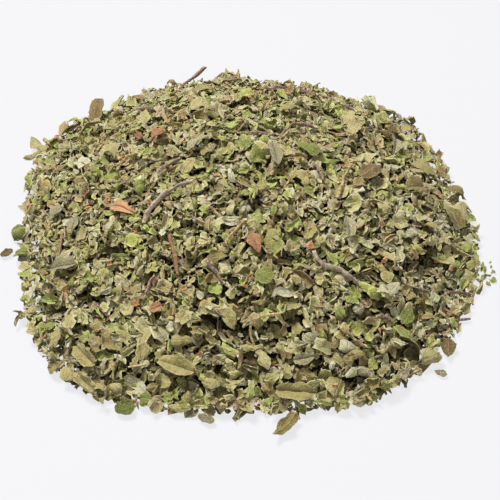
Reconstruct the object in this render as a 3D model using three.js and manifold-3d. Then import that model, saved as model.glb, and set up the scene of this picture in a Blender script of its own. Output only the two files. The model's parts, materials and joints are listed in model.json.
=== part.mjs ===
// A heap of crumbled dried herb, poured out on a flat surface.
//
// The heap is a low dome of broken leaf flakes. Bits of stem, larger leaves that came through whole,
// and rust-brown chips lie in its surface, and a few leaves have rolled clear of its foot.
// Millimetres, +Z up. The origin is the middle of the heap's flat underside, +X runs to the right
// and -Y is the side that is seen from the front.
import * as THREE from "three";
import { mergeVertices } from "three/addons/utils/BufferGeometryUtils.js";
import Module from "manifold-3d";

const wasm = await Module();
wasm.setup();

// Driving dimensions of the heap
const HEAP_HEIGHT = 25;
const FOOT_RADIUS = 58.4;
// The foot swells in broad lobes: how many there are round it, how far they reach, and the direction
// of one of them in degrees from +X
const FOOT_LOBES = [
  { count: 1, reach: 1.4, at: 161 },
  { count: 2, reach: 1.0, at: -76 },
  { count: 3, reach: 0.7, at: -10 },
  { count: 4, reach: 1.7, at: 49 },
  { count: 5, reach: 0.7, at: 10 },
  { count: 6, reach: 0.5, at: -14 },
  { count: 7, reach: 0.5, at: -6 },
];
const SLOPE_POWER = 1.8; // 1 is a cone and 2 a parabola
const LUMP_HEIGHT = 0.6;
const LUMP_WAVES = { alongX: 0.13, startX: 1.0, alongY: 0.15, startY: 0.4 }; // radians per mm, radians
const SLOPE_STEP = 1.5; // distance over which a slope is measured

// The bed of flakes: uneven tilted scales raised from the dome, each at its own height
const SCALE_SPACING = 5.9;
const SCALE_REACH = 12; // cells out from the middle, past the foot all round
const CROWN_SCALE = 0.86; // size of the scales at the crown, against those at the foot
const CORNER_JITTER = 0.24; // of the spacing
const SCALE_INSET = 0.13; // how far each scale draws in from its neighbours
const SCALE_TILT = 0.5; // greatest slope of a scale against the dome
const SCALE_STEP = 1.1; // greatest difference in height
const SCALE_DOME = 0.7; // how far a scale's middle is raised or sunk
const BED_DEPTH = 0.5; // mean depth of the bed under the heap's mean surface
const BED_BOTTOM = -5; // the bed is cut off at the surface that the heap lies on
const BURIED = BED_BOTTOM / 2; // height of the scales past the foot
const BED_SEED = 611;

// The flakes that stand out of the bed
const FLAKE_COUNT = 62;
const FLAKE_SIDES = 6;
const FLAKE_THICKNESS = 0.7;
const CROWN_FLAKE_LENGTH = 6.2;
const FOOT_FLAKE_LENGTH = 9.0;
const FLAKE_LENGTHS = { least: 0.8, most: 1.2 }; // against the mean length at its place
const FLAKE_WIDTHS = { least: 0.55, most: 0.85 }; // against its length
const FLAKE_TILT = { least: 14, most: 40 }; // degrees out of the slope
const FLAKE_ROLL = 20; // degrees either way about its own length
const ROOT_SINK = 1.5;
const FLATTER_AT_FOOT = 0.6; // how much of the tilt and sink the outermost flakes lose
const OUTERMOST = 0.985; // of the foot's radius
const SPREAD_POWER = 0.54; // over 0.5 packs the flakes closer at the crown
const GOLDEN_ANGLE = Math.PI * (3 - Math.sqrt(5));
const FLAKE_SEED = 4107;

// Pieces that lie in the heap's surface keep this clear of the flakes round them
const CLEARANCE = 0.35;
const LEAF_THICKNESS = 0.7;
const LEAF_ROWS = 4;
const CHIP_ROWS = 2;
const STEM_SIDES = 6;
const STEPS_PER_SPAN = 3;

const GREY_GREEN = 0x8c8a60;
const SAGE = 0x9c9c78;
const FRESH_GREEN = 0x8a9a48;
const OLIVE_BROWN = 0x7c7350;
const PURPLE = 0x6a5350;
const STRAW = 0xa8946a;
const RUST = 0xa8663a;

// Bits of stem. Points are [x, y, height over the heap's mean surface]
const STEMS = [
  {
    points: [[3.5, 42, 1], [10.2, 44.2, 1.3], [16.5, 42.2, 1.2], [22.3, 38.6, 1.2], [28.2, 33.4, 1]],
    radius: 0.5,
    colour: PURPLE,
  },
  { points: [[-19.5, 46.5, 0.6], [-16, 52, 2.6], [-11.8, 57, 5.8]], radius: 0.45, colour: PURPLE },
  { points: [[7.6, 9, 0.6], [10.1, 14.2, 1.1], [13.2, 16.5, 1.1], [16.4, 16, 0.9]], radius: 0.4, colour: PURPLE },
  { points: [[15.4, 1.2, 0.9], [16.4, -0.8, 1], [17.5, -3.4, 0.7]], radius: 0.42, colour: PURPLE },
  { points: [[-30.1, 34.8, 0.9], [-24.3, 29.9, 1.3], [-18.6, 25, 0.9]], radius: 0.4, colour: PURPLE },
  { points: [[-21.6, 0.5, 0.9], [-18.8, 1.8, 1.2], [-16.2, 3.1, 0.9]], radius: 0.45, colour: PURPLE },
  {
    points: [[-24.2, -15.1, 0.9], [-22.7, -12, 1.1], [-19.9, -9, 1.2], [-16.1, -6.6, 1.1], [-12.8, -5.9, 0.7]],
    radius: 0.5,
    colour: PURPLE,
  },
  { points: [[-17.8, -19.8, 0.9], [-16.8, -24.4, 1.2], [-16, -28.9, 0.8]], radius: 0.45, colour: RUST },
  { points: [[-24.1, -33, 0.7], [-22.5, -31.1, 1.1], [-21.2, -28.9, 0.9]], radius: 0.35, colour: PURPLE },
  { points: [[-9.3, -26.7, 0.8], [-7.4, -29.2, 1.1], [-5.4, -31.8, 0.8]], radius: 0.4, colour: PURPLE },
  { points: [[-5.2, -22.6, 0.9], [-3, -20.2, 1.2], [-0.7, -17.4, 0.9]], radius: 0.45, colour: STRAW },
  {
    points: [[14.9, -24.4, 1.3], [17.3, -26.9, 1], [20.2, -27.2, 1.1], [23, -28.4, 1.2], [25.3, -29.7, 0.9]],
    radius: 0.5,
    colour: PURPLE,
  },
  {
    points: [[20.2, -39.2, 0.9], [22.5, -40.5, 1.1], [24.4, -41.6, 1.1], [26.3, -42, 0.9]],
    radius: 0.35,
    colour: STRAW,
  },
  { points: [[45.9, -23.8, 0.9], [49, -22.4, 1.2], [52.4, -21.2, 1.4]], radius: 0.4, colour: PURPLE },
  { points: [[-44.5, -8.4, 0.9], [-44.7, -12, 1.1], [-44.6, -15.4, 0.9]], radius: 0.35, colour: RUST },
  { points: [[-31.3, 7.5, 0.8], [-29.2, 8.7, 1.2], [-27, 9.2, 0.8]], radius: 0.35, colour: STRAW },
  { points: [[24.6, 4.4, 1.3], [22.8, -1.6, 1.3], [20.8, -8.6, 0.9]], radius: 0.35, colour: STRAW },
  { points: [[29.2, -35.2, 0.9], [30.8, -34.9, 1.1], [32.2, -35.2, 0.9]], radius: 0.35, colour: PURPLE },
];

// Leaves that came through whole: their middle, the way they point in degrees from +X, how they lie
// against the slope, and their length and width
const WHOLE_LEAVES = [
  { at: [-38.5, 38], heading: 70, tilt: 40, roll: 10, lift: 2.2, size: [7.4, 5], colour: OLIVE_BROWN },
  { at: [-39.9, 27.6], heading: 8, tilt: 10, roll: -12, lift: 1.5, size: [7.4, 3.6], colour: GREY_GREEN },
  { at: [-33.8, 23.6], heading: -50, tilt: 8, roll: 14, lift: 1.4, size: [5.2, 3.6], colour: GREY_GREEN },
  { at: [-45.6, -1.6], heading: 20, tilt: 4, roll: 0, lift: 1.4, size: [4.4, 4], colour: SAGE },
  { at: [-40.6, -7.8], heading: 60, tilt: 6, roll: 6, lift: 1.3, size: [4.4, 3.4], colour: SAGE },
  { at: [-11.6, 6.2], heading: 30, tilt: 6, roll: -8, lift: 1.4, size: [5.8, 3.4], colour: SAGE },
  { at: [14.1, 5.7], heading: -20, roll: -6, lift: 1.5, size: [6.8, 5.4], fold: -0.35, colour: FRESH_GREEN },
  { at: [6.2, 0.9], heading: -80, tilt: 5, roll: 8, lift: 1.3, size: [7.4, 3.2], colour: SAGE },
  { at: [42.7, 15], heading: 10, roll: 6, lift: 1.5, size: [7, 5.2], fold: -0.2, colour: GREY_GREEN },
  { at: [48.5, -1.2], heading: 140, roll: -6, lift: 1.6, size: [6.6, 6], fold: 0.12, colour: GREY_GREEN },
  { at: [28.5, 3.2], heading: 40, tilt: 14, lift: 1.6, size: [6.6, 3.8], fold: -0.4, colour: OLIVE_BROWN },
  { at: [22.4, -16.4], heading: -81, tilt: 6, roll: 0, lift: 1.4, size: [5.8, 3.4], colour: SAGE },
  { at: [3.5, -30.1], heading: -30, tilt: 5, lift: 1.4, size: [4.8, 4.4], fold: -0.25, colour: FRESH_GREEN },
  { at: [35.4, -33.3], heading: 63, tilt: 6, lift: 1.4, size: [4.4, 3.6], fold: -0.2, colour: FRESH_GREEN },
  { at: [-35.5, -42.5], heading: -51, tilt: 8, roll: 12, lift: 1.6, size: [7.2, 3.6], colour: GREY_GREEN },
  { at: [-42, -19.7], heading: -12, tilt: 5, lift: 1.4, size: [7.4, 3.8], fold: 0.35, colour: SAGE },
  { at: [-15.8, -47.2], heading: -22, roll: -8, lift: 1.5, size: [8.2, 3.8], arch: 0.06, colour: GREY_GREEN },
  { at: [10.5, -51.5], heading: -5, tilt: 4, lift: 1.6, size: [8.6, 4.4], fold: 0.35, colour: GREY_GREEN },
  { at: [12.1, -45.6], heading: 13, tilt: 5, roll: 6, lift: 1.4, size: [4.4, 3], colour: SAGE },
  { at: [10.1, 22.4], heading: 20, tilt: 10, roll: 0, lift: 1.4, size: [5, 3.4], colour: GREY_GREEN },
  { at: [35.9, 19.1], heading: 80, tilt: 14, roll: 4, lift: 1.4, size: [5.4, 3.2], colour: SAGE },
  { at: [39.7, 3.8], heading: 30, tilt: 8, roll: 0, lift: 1.4, size: [5.8, 5], colour: GREY_GREEN },
  { at: [50.6, 10.6], heading: 10, tilt: 6, roll: 0, lift: 1.5, size: [6.2, 4.2], colour: GREY_GREEN },
];

// Rust-brown chips of bract and bark
const CHIPS = [
  { at: [-28.8, -9.2], heading: -38, tilt: 3, roll: 6, lift: 1.4, size: [6.6, 2.6] },
  { at: [1.4, -22.8], heading: -66, tilt: 5, roll: 0, lift: 1.3, size: [4.8, 3.4] },
  { at: [-26.5, 15.4], heading: -60, tilt: 4, roll: 8, lift: 1.3, size: [3.4, 1.8] },
  { at: [-21.6, 13.1], heading: 29, tilt: 4, roll: 0, lift: 1.3, size: [4.6, 3] },
  { at: [48.2, 18.9], heading: 30, tilt: 6, roll: 0, lift: 1.3, size: [2.8, 2.4] },
  { at: [-20.4, -35.6], heading: 21, tilt: 5, roll: 0, lift: 1.3, size: [2.8, 2] },
];

// Leaves that rolled clear of the foot and lie on the surface
const LOOSE_LEAVES = [
  { at: [-27.1, -54.7], heading: 18, size: [4.2, 4], fold: -0.3, arch: 0.05, colour: FRESH_GREEN },
  { at: [-9, -57.7], heading: -28, size: [3.8, 2.4], fold: -0.3, arch: 0.05, colour: SAGE },
  { at: [8.1, -60], heading: 51, size: [7.6, 3.6], fold: -0.7, arch: 0.04, colour: GREY_GREEN },
  { at: [45.7, -37.7], heading: 84, size: [5.2, 3.8], fold: -0.45, arch: 0.1, colour: OLIVE_BROWN },
  { at: [58.1, -13.2], heading: 40, size: [5.2, 3.6], fold: -0.2, arch: 0.08, colour: GREY_GREEN },
  { at: [-58.7, -7], heading: 34, size: [3.2, 2.4], fold: -0.3, arch: 0.05, colour: OLIVE_BROWN },
  { at: [43.5, -44.5], heading: -24, size: [2.8, 2], fold: -0.3, arch: 0.05, colour: SAGE },
];

const degrees = THREE.MathUtils.degToRad;
const mix = THREE.MathUtils.lerp;

/** A repeatable source of numbers from 0 to 1. */
function randomSource(seed) {
  let state = seed;
  return () => {
    state = (state + 0x6d2b79f5) | 0;
    let t = Math.imul(state ^ (state >>> 15), 1 | state);
    t = (t + Math.imul(t ^ (t >>> 7), 61 | t)) ^ t;
    return ((t ^ (t >>> 14)) >>> 0) / 4294967296;
  };
}

/** A random number between the least and the most of a range. */
const within = (range, random) => mix(range.least, range.most, random());

/** A random number from -1 to 1. */
const eitherWay = (random) => 2 * random() - 1;

/** The radius of the heap's foot in one direction. */
function footRadius(angle) {
  const swell = ({ count, reach, at }) => reach * Math.cos(count * (angle - degrees(at)));
  return FOOT_LOBES.reduce((radius, lobe) => radius + swell(lobe), FOOT_RADIUS);
}

/** The height of the heap's mean surface, 0 outside its foot. */
function heapHeight(x, y) {
  const reach = Math.hypot(x, y) / footRadius(Math.atan2(y, x));
  if (reach >= 1) return 0;
  const { alongX, startX, alongY, startY } = LUMP_WAVES;
  const lump = Math.sin(alongX * x + startX) * Math.sin(alongY * y + startY);
  return HEAP_HEIGHT * (1 - reach ** SLOPE_POWER) + LUMP_HEIGHT * lump * (1 - reach ** 2);
}

/** The upward normal of the mean surface. Past the foot it turns to straight up. */
function heapNormal(x, y) {
  const slopeX = (heapHeight(x + SLOPE_STEP, y) - heapHeight(x - SLOPE_STEP, y)) / (2 * SLOPE_STEP);
  const slopeY = (heapHeight(x, y + SLOPE_STEP) - heapHeight(x, y - SLOPE_STEP)) / (2 * SLOPE_STEP);
  return new THREE.Vector3(-slopeX, -slopeY, 1).normalize();
}

/** A closed solid from a geometry whose faces point out. */
function solidFrom(geometry) {
  const bare = geometry.clone();
  bare.deleteAttribute("normal");
  bare.deleteAttribute("uv");
  const merged = mergeVertices(bare, 1e-4);
  return new wasm.Manifold(
    new wasm.Mesh({
      numProp: 3,
      vertProperties: merged.attributes.position.array,
      triVerts: new Uint32Array(merged.index.array),
    }),
  );
}

/** A flat-shaded geometry from a solid. */
function geometryFrom(solid) {
  const mesh = solid.getMesh();
  const positions = new Float32Array(mesh.numVert * 3);
  for (let i = 0; i < mesh.numVert; i++) {
    const start = i * mesh.numProp;
    positions.set(mesh.vertProperties.subarray(start, start + 3), i * 3);
  }
  const geometry = new THREE.BufferGeometry();
  geometry.setAttribute("position", new THREE.BufferAttribute(positions, 3));
  geometry.setIndex(new THREE.BufferAttribute(mesh.triVerts, 1));
  const flat = geometry.toNonIndexed();
  flat.computeVertexNormals();
  return flat;
}

/** The largest body of a solid: scraps that a cut left loose are dropped. */
function largestBody(solid) {
  return solid.decompose().reduce((a, b) => (b.volume() > a.volume() ? b : a));
}

/** A geometry from points and triangles. */
function geometryOf(points, triangles) {
  const geometry = new THREE.BufferGeometry();
  const positions = new Float32Array(points.flat());
  geometry.setAttribute("position", new THREE.BufferAttribute(positions, 3));
  geometry.setIndex(triangles.flat());
  return geometry;
}

/** A plate of even thickness on a skin of points, with the same triangles on both faces. */
function plateGeometry(skin, triangles, rim, thickness) {
  const half = thickness / 2;
  const count = skin.length;
  const upper = skin.map(([x, y, z]) => [x, y, z + half]);
  const lower = skin.map(([x, y, z]) => [x, y, z - half]);
  const faces = [];
  for (const [a, b, c] of triangles) faces.push([a, b, c], [a + count, c + count, b + count]);
  rim.forEach((a, i) => {
    const b = rim[(i + 1) % rim.length];
    faces.push([a, a + count, b + count], [a, b + count, b]);
  });
  return geometryOf([...upper, ...lower], faces);
}

/** A broken flake: an uneven polygon round a raised or sunk middle, centred on the origin. */
function flakeGeometry(length, width, random) {
  const skin = [[0, 0, (random() - 0.4) * 0.16 * length]];
  const rim = [];
  const triangles = [];
  for (let i = 0; i < FLAKE_SIDES; i++) {
    const angle = ((i + 0.35 * (random() - 0.5)) / FLAKE_SIDES) * 2 * Math.PI;
    const reach = mix(0.41, 0.56, random());
    const droop = -0.1 * length * random();
    skin.push([length * reach * Math.cos(angle), width * reach * Math.sin(angle), droop]);
    rim.push(i + 1);
    triangles.push([0, i + 1, ((i + 1) % FLAKE_SIDES) + 1]);
  }
  return plateGeometry(skin, triangles, rim, FLAKE_THICKNESS);
}

/**
 * The skin of a whole leaf, centred on the origin: a point at each end and rows of left edge, midrib
 * and right edge between them. It is folded along its midrib, arched along its length and waved.
 */
function leafSkin({ size: [length, width], fold = 0.25, arch = 0.1, wave = 0.06 }, rows, grow) {
  const heightAt = (t, side) =>
    arch * length * Math.sin(Math.PI * t) +
    fold * (width / 2) * Math.abs(side) +
    wave * width * side * Math.cos(2.3 * Math.PI * t);
  const endOf = (t) => [(t - 0.5) * (length + 2 * grow), 0, heightAt(t, 0)];
  const skin = [endOf(0)];
  for (let row = 1; row <= rows; row++) {
    const t = row / (rows + 1);
    const notch = row % 2 ? 1 : 0.93;
    const half = (width / 2) * Math.sin(Math.PI * t ** 0.85) ** 0.75 * notch + grow;
    for (const side of [1, 0, -1]) skin.push([(t - 0.5) * length, side * half, heightAt(t, side)]);
  }
  skin.push(endOf(1));
  return skin;
}

/** A whole leaf. grow widens and thickens it evenly, for the room that it takes in the heap. */
function leafGeometry(leaf, rows, grow = 0) {
  const skin = leafSkin(leaf, rows, grow);
  const tip = skin.length - 1;
  const left = (row) => 1 + 3 * (row - 1);
  const triangles = [[0, left(1) + 1, left(1)], [0, left(1) + 2, left(1) + 1]];
  for (let row = 1; row < rows; row++) {
    for (const side of [0, 1]) {
      const near = left(row) + side;
      const far = left(row + 1) + side;
      triangles.push([near, near + 1, far + 1], [near, far + 1, far]);
    }
  }
  triangles.push([left(rows), left(rows) + 1, tip], [left(rows) + 1, left(rows) + 2, tip]);
  const rim = [0];
  for (let row = 1; row <= rows; row++) rim.push(left(row) + 2);
  rim.push(tip);
  for (let row = rows; row >= 1; row--) rim.push(left(row));
  return plateGeometry(skin, triangles, rim, LEAF_THICKNESS + 2 * grow);
}

/** The section of a stem, a regular polygon with its corners at a radius. */
function stemSection(radius) {
  const section = new THREE.Shape();
  for (let i = 0; i < STEM_SIDES; i++) {
    const angle = (i / STEM_SIDES) * 2 * Math.PI;
    section[i ? "lineTo" : "moveTo"](radius * Math.cos(angle), radius * Math.sin(angle));
  }
  section.closePath();
  return section;
}

/** A stem: an even rod along a smooth curve. grow thickens and lengthens it, as it does a leaf. */
function stemGeometry({ points, radius }, grow = 0) {
  const route = points.map(([x, y, lift]) => new THREE.Vector3(x, y, heapHeight(x, y) + lift));
  const last = route.length - 1;
  const startward = route[0].clone().sub(route[1]).normalize();
  const endward = route[last].clone().sub(route[last - 1]).normalize();
  route[0].addScaledVector(startward, grow);
  route[last].addScaledVector(endward, grow);
  const section = stemSection((radius + grow) / Math.cos(Math.PI / STEM_SIDES));
  return new THREE.ExtrudeGeometry(section, {
    steps: STEPS_PER_SPAN * last,
    extrudePath: new THREE.CatmullRomCurve3(route, false, "centripetal"),
    bevelEnabled: false,
  });
}

/** Lays a blade on the heap's slope: its middle over (x, y), its length along a heading. */
function layOnSlope(geometry, { at: [x, y], heading, tilt = 5, roll = 0, lift = 0 }) {
  const normal = heapNormal(x, y);
  const along = new THREE.Vector3(Math.cos(degrees(heading)), Math.sin(degrees(heading)), 0);
  along.addScaledVector(normal, -along.dot(normal)).normalize();
  const across = new THREE.Vector3().crossVectors(normal, along);
  along.applyAxisAngle(across, -degrees(tilt));
  across.applyAxisAngle(along, degrees(roll));
  const upward = new THREE.Vector3().crossVectors(along, across);
  const place = new THREE.Matrix4().makeBasis(along, across, upward);
  place.setPosition(new THREE.Vector3(x, y, heapHeight(x, y)).addScaledVector(normal, lift));
  return geometry.applyMatrix4(place);
}

/** Lays a loose leaf on the floor, with its lowest point on it. */
function layOnFloor(geometry, { at: [x, y], heading }) {
  geometry.rotateZ(degrees(heading));
  geometry.computeBoundingBox();
  return geometry.translate(x, y, -geometry.boundingBox.min.z);
}

const gridKey = (q, r) => `${q},${r}`;

/** Whether the scale at a place of the hexagonal grid is part of the bed. */
const inBed = (q, r) => Math.max(Math.abs(q), Math.abs(r), Math.abs(q + r)) <= SCALE_REACH;

/** The places of the hexagonal grid up to a reach, as [q, r]. */
function gridPlaces(reach) {
  const places = [];
  for (let q = -reach; q <= reach; q++) for (let r = -reach; r <= reach; r++) places.push([q, r]);
  return places;
}

/** The jittered corners of the grid. Each place owns the one above it and the one below it. */
function gridCorners(random) {
  const rowHeight = (SCALE_SPACING * Math.sqrt(3)) / 2;
  const rise = SCALE_SPACING / Math.sqrt(3);
  const jitter = () => CORNER_JITTER * SCALE_SPACING * (random() - 0.5);
  const owned = new Map();
  for (const [q, r] of gridPlaces(SCALE_REACH + 1)) {
    const x = SCALE_SPACING * (q + r / 2);
    const y = rowHeight * r;
    const above = [x + jitter(), y + rise + jitter()];
    const below = [x + jitter(), y - rise + jitter()];
    owned.set(gridKey(q, r), { above, below });
  }
  return owned;
}

/** The six corners of one scale, corner k at 30 + 60 k degrees. Towards the crown they draw in. */
function scaleCorners(owned, q, r) {
  const corners = [
    owned.get(gridKey(q, r + 1)).below,
    owned.get(gridKey(q, r)).above,
    owned.get(gridKey(q - 1, r + 1)).below,
    owned.get(gridKey(q, r - 1)).above,
    owned.get(gridKey(q, r)).below,
    owned.get(gridKey(q + 1, r - 1)).above,
  ];
  return corners.map(([x, y]) => {
    const factor = mix(CROWN_SCALE, 1, Math.min(Math.hypot(x, y) / FOOT_RADIUS, 1));
    return [x * factor, y * factor];
  });
}

/** One scale's middle and six corners, tilted at random and raised or sunk as a whole. */
function scalePoints(corners, random) {
  const x = corners.reduce((sum, corner) => sum + corner[0], 0) / 6;
  const y = corners.reduce((sum, corner) => sum + corner[1], 0) / 6;
  const height = heapHeight(x, y);
  const normal = heapNormal(x, y);
  const tiltX = SCALE_TILT * eitherWay(random) - normal.x / normal.z;
  const tiltY = SCALE_TILT * eitherWay(random) - normal.y / normal.z;
  const step = SCALE_STEP * (random() - 0.5) - BED_DEPTH;
  const dome = SCALE_DOME * eitherWay(random);
  const buried = height <= 0;
  const points = [[x, y, buried ? BURIED : height + step + dome]];
  for (const corner of corners) {
    const px = mix(corner[0], x, SCALE_INSET);
    const py = mix(corner[1], y, SCALE_INSET);
    const lift = step + tiltX * (px - x) + tiltY * (py - y);
    points.push([px, py, buried ? BURIED : height + lift]);
  }
  return points;
}

/** The steps between neighbouring scales, and the small gaps where three scales meet. */
function stepTriangles(firstOf) {
  const corner = (q, r, k) => firstOf.get(gridKey(q, r)) + 1 + k;
  const triangles = [];
  for (const name of firstOf.keys()) {
    const [q, r] = name.split(",").map(Number);
    const right = { place: [q + 1, r], corners: [5, 3, 2, 0] };
    const upRight = { place: [q, r + 1], corners: [0, 4, 3, 1] };
    const upLeft = { place: [q - 1, r + 1], corners: [1, 5, 4, 2] };
    for (const { place, corners } of [right, upRight, upLeft]) {
      if (!inBed(...place)) continue;
      const near = [corner(q, r, corners[0]), corner(q, r, corners[3])];
      const far = [corner(...place, corners[1]), corner(...place, corners[2])];
      triangles.push([near[0], far[0], far[1]], [near[0], far[1], near[1]]);
    }
    if (inBed(q, r + 1) && inBed(q - 1, r + 1))
      triangles.push([corner(q, r, 1), corner(q, r + 1, 3), corner(q - 1, r + 1, 5)]);
    if (inBed(q, r - 1) && inBed(q + 1, r - 1))
      triangles.push([corner(q, r, 4), corner(q, r - 1, 0), corner(q + 1, r - 1, 2)]);
  }
  return triangles;
}

/** Closes an open top: a wall down from its rim to the bed's bottom, and the bottom itself. */
function closeBelow(points, triangles) {
  const rim = new Map();
  for (const [a, b, c] of triangles) {
    for (const [from, to] of [[a, b], [b, c], [c, a]]) {
      if (!rim.delete(gridKey(to, from))) rim.set(gridKey(from, to), [from, to]);
    }
  }
  const lowered = new Map();
  const lower = (index) => {
    if (!lowered.has(index)) {
      lowered.set(index, points.length);
      points.push([points[index][0], points[index][1], BED_BOTTOM]);
    }
    return lowered.get(index);
  };
  const middle = points.length;
  points.push([0, 0, BED_BOTTOM]);
  for (const [from, to] of rim.values()) {
    const [lowFrom, lowTo] = [lower(from), lower(to)];
    triangles.push([from, lowFrom, lowTo], [from, lowTo, to], [middle, lowTo, lowFrom]);
  }
}

/** The bed: scales on a jittered hexagonal grid, joined by steep steps, on a block. */
function bedGeometry(random) {
  const owned = gridCorners(random);
  const points = [];
  const triangles = [];
  const firstOf = new Map();
  for (const [q, r] of gridPlaces(SCALE_REACH)) {
    if (!inBed(q, r)) continue;
    const first = points.length;
    firstOf.set(gridKey(q, r), first);
    points.push(...scalePoints(scaleCorners(owned, q, r), random));
    for (let k = 0; k < 6; k++) triangles.push([first, first + 1 + k, first + 1 + ((k + 1) % 6)]);
  }
  triangles.push(...stepTriangles(firstOf));
  closeBelow(points, triangles);
  return geometryOf(points, triangles);
}

/** One flake that stands out of the bed, rooted in it: out runs from 0 at the crown to 1 at the foot. */
function standingFlake(angle, out, random) {
  const meanLength = mix(CROWN_FLAKE_LENGTH, FOOT_FLAKE_LENGTH, out * out);
  const length = meanLength * within(FLAKE_LENGTHS, random);
  const width = length * within(FLAKE_WIDTHS, random);
  const atFoot = THREE.MathUtils.smoothstep(out, 0.9, 1);
  const keep = 1 - FLATTER_AT_FOOT * atFoot;
  const outward = THREE.MathUtils.radToDeg(angle) + 90 * (random() - 0.5);
  const heading = mix(360 * random(), outward, atFoot);
  const tilt = within(FLAKE_TILT, random);
  const rise = (length / 2) * Math.sin(degrees(tilt));
  const radius = footRadius(angle) * out * OUTERMOST;
  return layOnSlope(flakeGeometry(length, width, random), {
    at: [radius * Math.cos(angle), radius * Math.sin(angle)],
    heading,
    tilt: tilt * keep,
    roll: FLAKE_ROLL * eitherWay(random),
    lift: rise - ROOT_SINK * keep,
  });
}

/** The flakes that stand out of the bed, spread evenly over it by the golden angle. */
function flakeSolids(random) {
  const solids = [];
  for (let k = 0; k < FLAKE_COUNT; k++) {
    const out = ((k + 0.5) / FLAKE_COUNT) ** SPREAD_POWER;
    const angle = k * GOLDEN_ANGLE + 0.12 * (random() - 0.5);
    solids.push(solidFrom(standingFlake(angle, out, random)));
  }
  return solids;
}

const heap = new THREE.Group();
const room = []; // the space that each piece takes in the heap, with its clearance

/** Adds one named piece to the heap's group. */
function addPiece(name, geometry, colour) {
  const material = new THREE.MeshStandardMaterial({ color: colour, roughness: 0.9, metalness: 0 });
  const mesh = new THREE.Mesh(geometry, material);
  mesh.name = name;
  heap.add(mesh);
}

/** Adds a numbered row of pieces, and the room that each takes, grown by the clearance. */
function addRow(name, pieces, makeGeometry) {
  pieces.forEach((piece, i) => {
    const number = String(i + 1).padStart(2, "0");
    addPiece(`${name}_${number}`, makeGeometry(piece, 0), piece.colour ?? RUST);
    room.push(solidFrom(makeGeometry(piece, CLEARANCE)));
  });
}

addRow("stem", STEMS, stemGeometry);
addRow("whole_leaf", WHOLE_LEAVES, (leaf, grow) => layOnSlope(leafGeometry(leaf, LEAF_ROWS, grow), leaf));
addRow("brown_chip", CHIPS, (chip, grow) => layOnSlope(leafGeometry(chip, CHIP_ROWS, grow), chip));
addRow("loose_leaf", LOOSE_LEAVES, (leaf, grow) => layOnFloor(leafGeometry(leaf, LEAF_ROWS, grow), leaf));

const ground = solidFrom(new THREE.BoxGeometry(400, 400, 40).translate(0, 0, -20));
const bed = solidFrom(bedGeometry(randomSource(BED_SEED)));
const covered = wasm.Manifold.union([bed, ...flakeSolids(randomSource(FLAKE_SEED))]);
const cleared = covered.subtract(ground).subtract(wasm.Manifold.union(room));
addPiece("leaf_heap", geometryFrom(largestBody(cleared)), GREY_GREEN);

export default heap;
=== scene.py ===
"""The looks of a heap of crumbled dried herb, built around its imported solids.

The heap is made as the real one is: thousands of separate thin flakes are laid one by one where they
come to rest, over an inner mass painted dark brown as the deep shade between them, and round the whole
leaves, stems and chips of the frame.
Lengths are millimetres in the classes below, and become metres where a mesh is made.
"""

import json
import logging
import math
from collections.abc import Callable
from dataclasses import dataclass, field
from enum import Enum
from typing import NamedTuple

import bmesh
import bpy
import numpy as np
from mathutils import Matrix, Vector

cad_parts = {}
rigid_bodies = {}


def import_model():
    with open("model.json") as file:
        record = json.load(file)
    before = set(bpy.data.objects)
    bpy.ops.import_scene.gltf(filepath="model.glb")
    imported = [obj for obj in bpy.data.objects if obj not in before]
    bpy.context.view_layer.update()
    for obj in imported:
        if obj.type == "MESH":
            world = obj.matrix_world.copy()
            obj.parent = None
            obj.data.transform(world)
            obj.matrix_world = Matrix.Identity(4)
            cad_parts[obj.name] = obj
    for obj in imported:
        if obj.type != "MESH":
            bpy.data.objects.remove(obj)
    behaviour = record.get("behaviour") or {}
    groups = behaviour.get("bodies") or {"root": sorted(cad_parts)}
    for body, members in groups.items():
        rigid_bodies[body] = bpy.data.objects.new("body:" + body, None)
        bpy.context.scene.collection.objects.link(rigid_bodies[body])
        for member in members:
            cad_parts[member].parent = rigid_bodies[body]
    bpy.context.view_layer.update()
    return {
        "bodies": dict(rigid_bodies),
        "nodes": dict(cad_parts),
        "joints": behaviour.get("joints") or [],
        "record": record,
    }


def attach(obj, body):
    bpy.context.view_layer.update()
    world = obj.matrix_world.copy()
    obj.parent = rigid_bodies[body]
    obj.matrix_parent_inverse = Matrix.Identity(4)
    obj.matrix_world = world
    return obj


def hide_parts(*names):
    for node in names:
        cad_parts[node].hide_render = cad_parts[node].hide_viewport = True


LOG = logging.getLogger("herb_heap")
MM = 0.001
TRIANGLE_LIMIT = 190_000  # in one piece
TURN = 2 * math.pi
TINY = 1e-9  # keeps a division off zero


def coordinates(mesh: bpy.types.Mesh) -> np.ndarray:
    """Reads where a mesh's vertices lie.

    Args:
        mesh: the mesh.

    Returns:
        A row of x, y and z for each vertex, in the mesh's own unit.
    """
    points = np.empty(len(mesh.vertices) * 3)
    mesh.vertices.foreach_get("co", points)
    return points.reshape(-1, 3)


# The form of the heap and what lies in it so far


@dataclass(frozen=True)
class FootLobe:
    """A swelling of the foot: how many there are round it, how far they reach, and where one is."""

    count: int
    reach: float
    at_degrees: float


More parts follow.
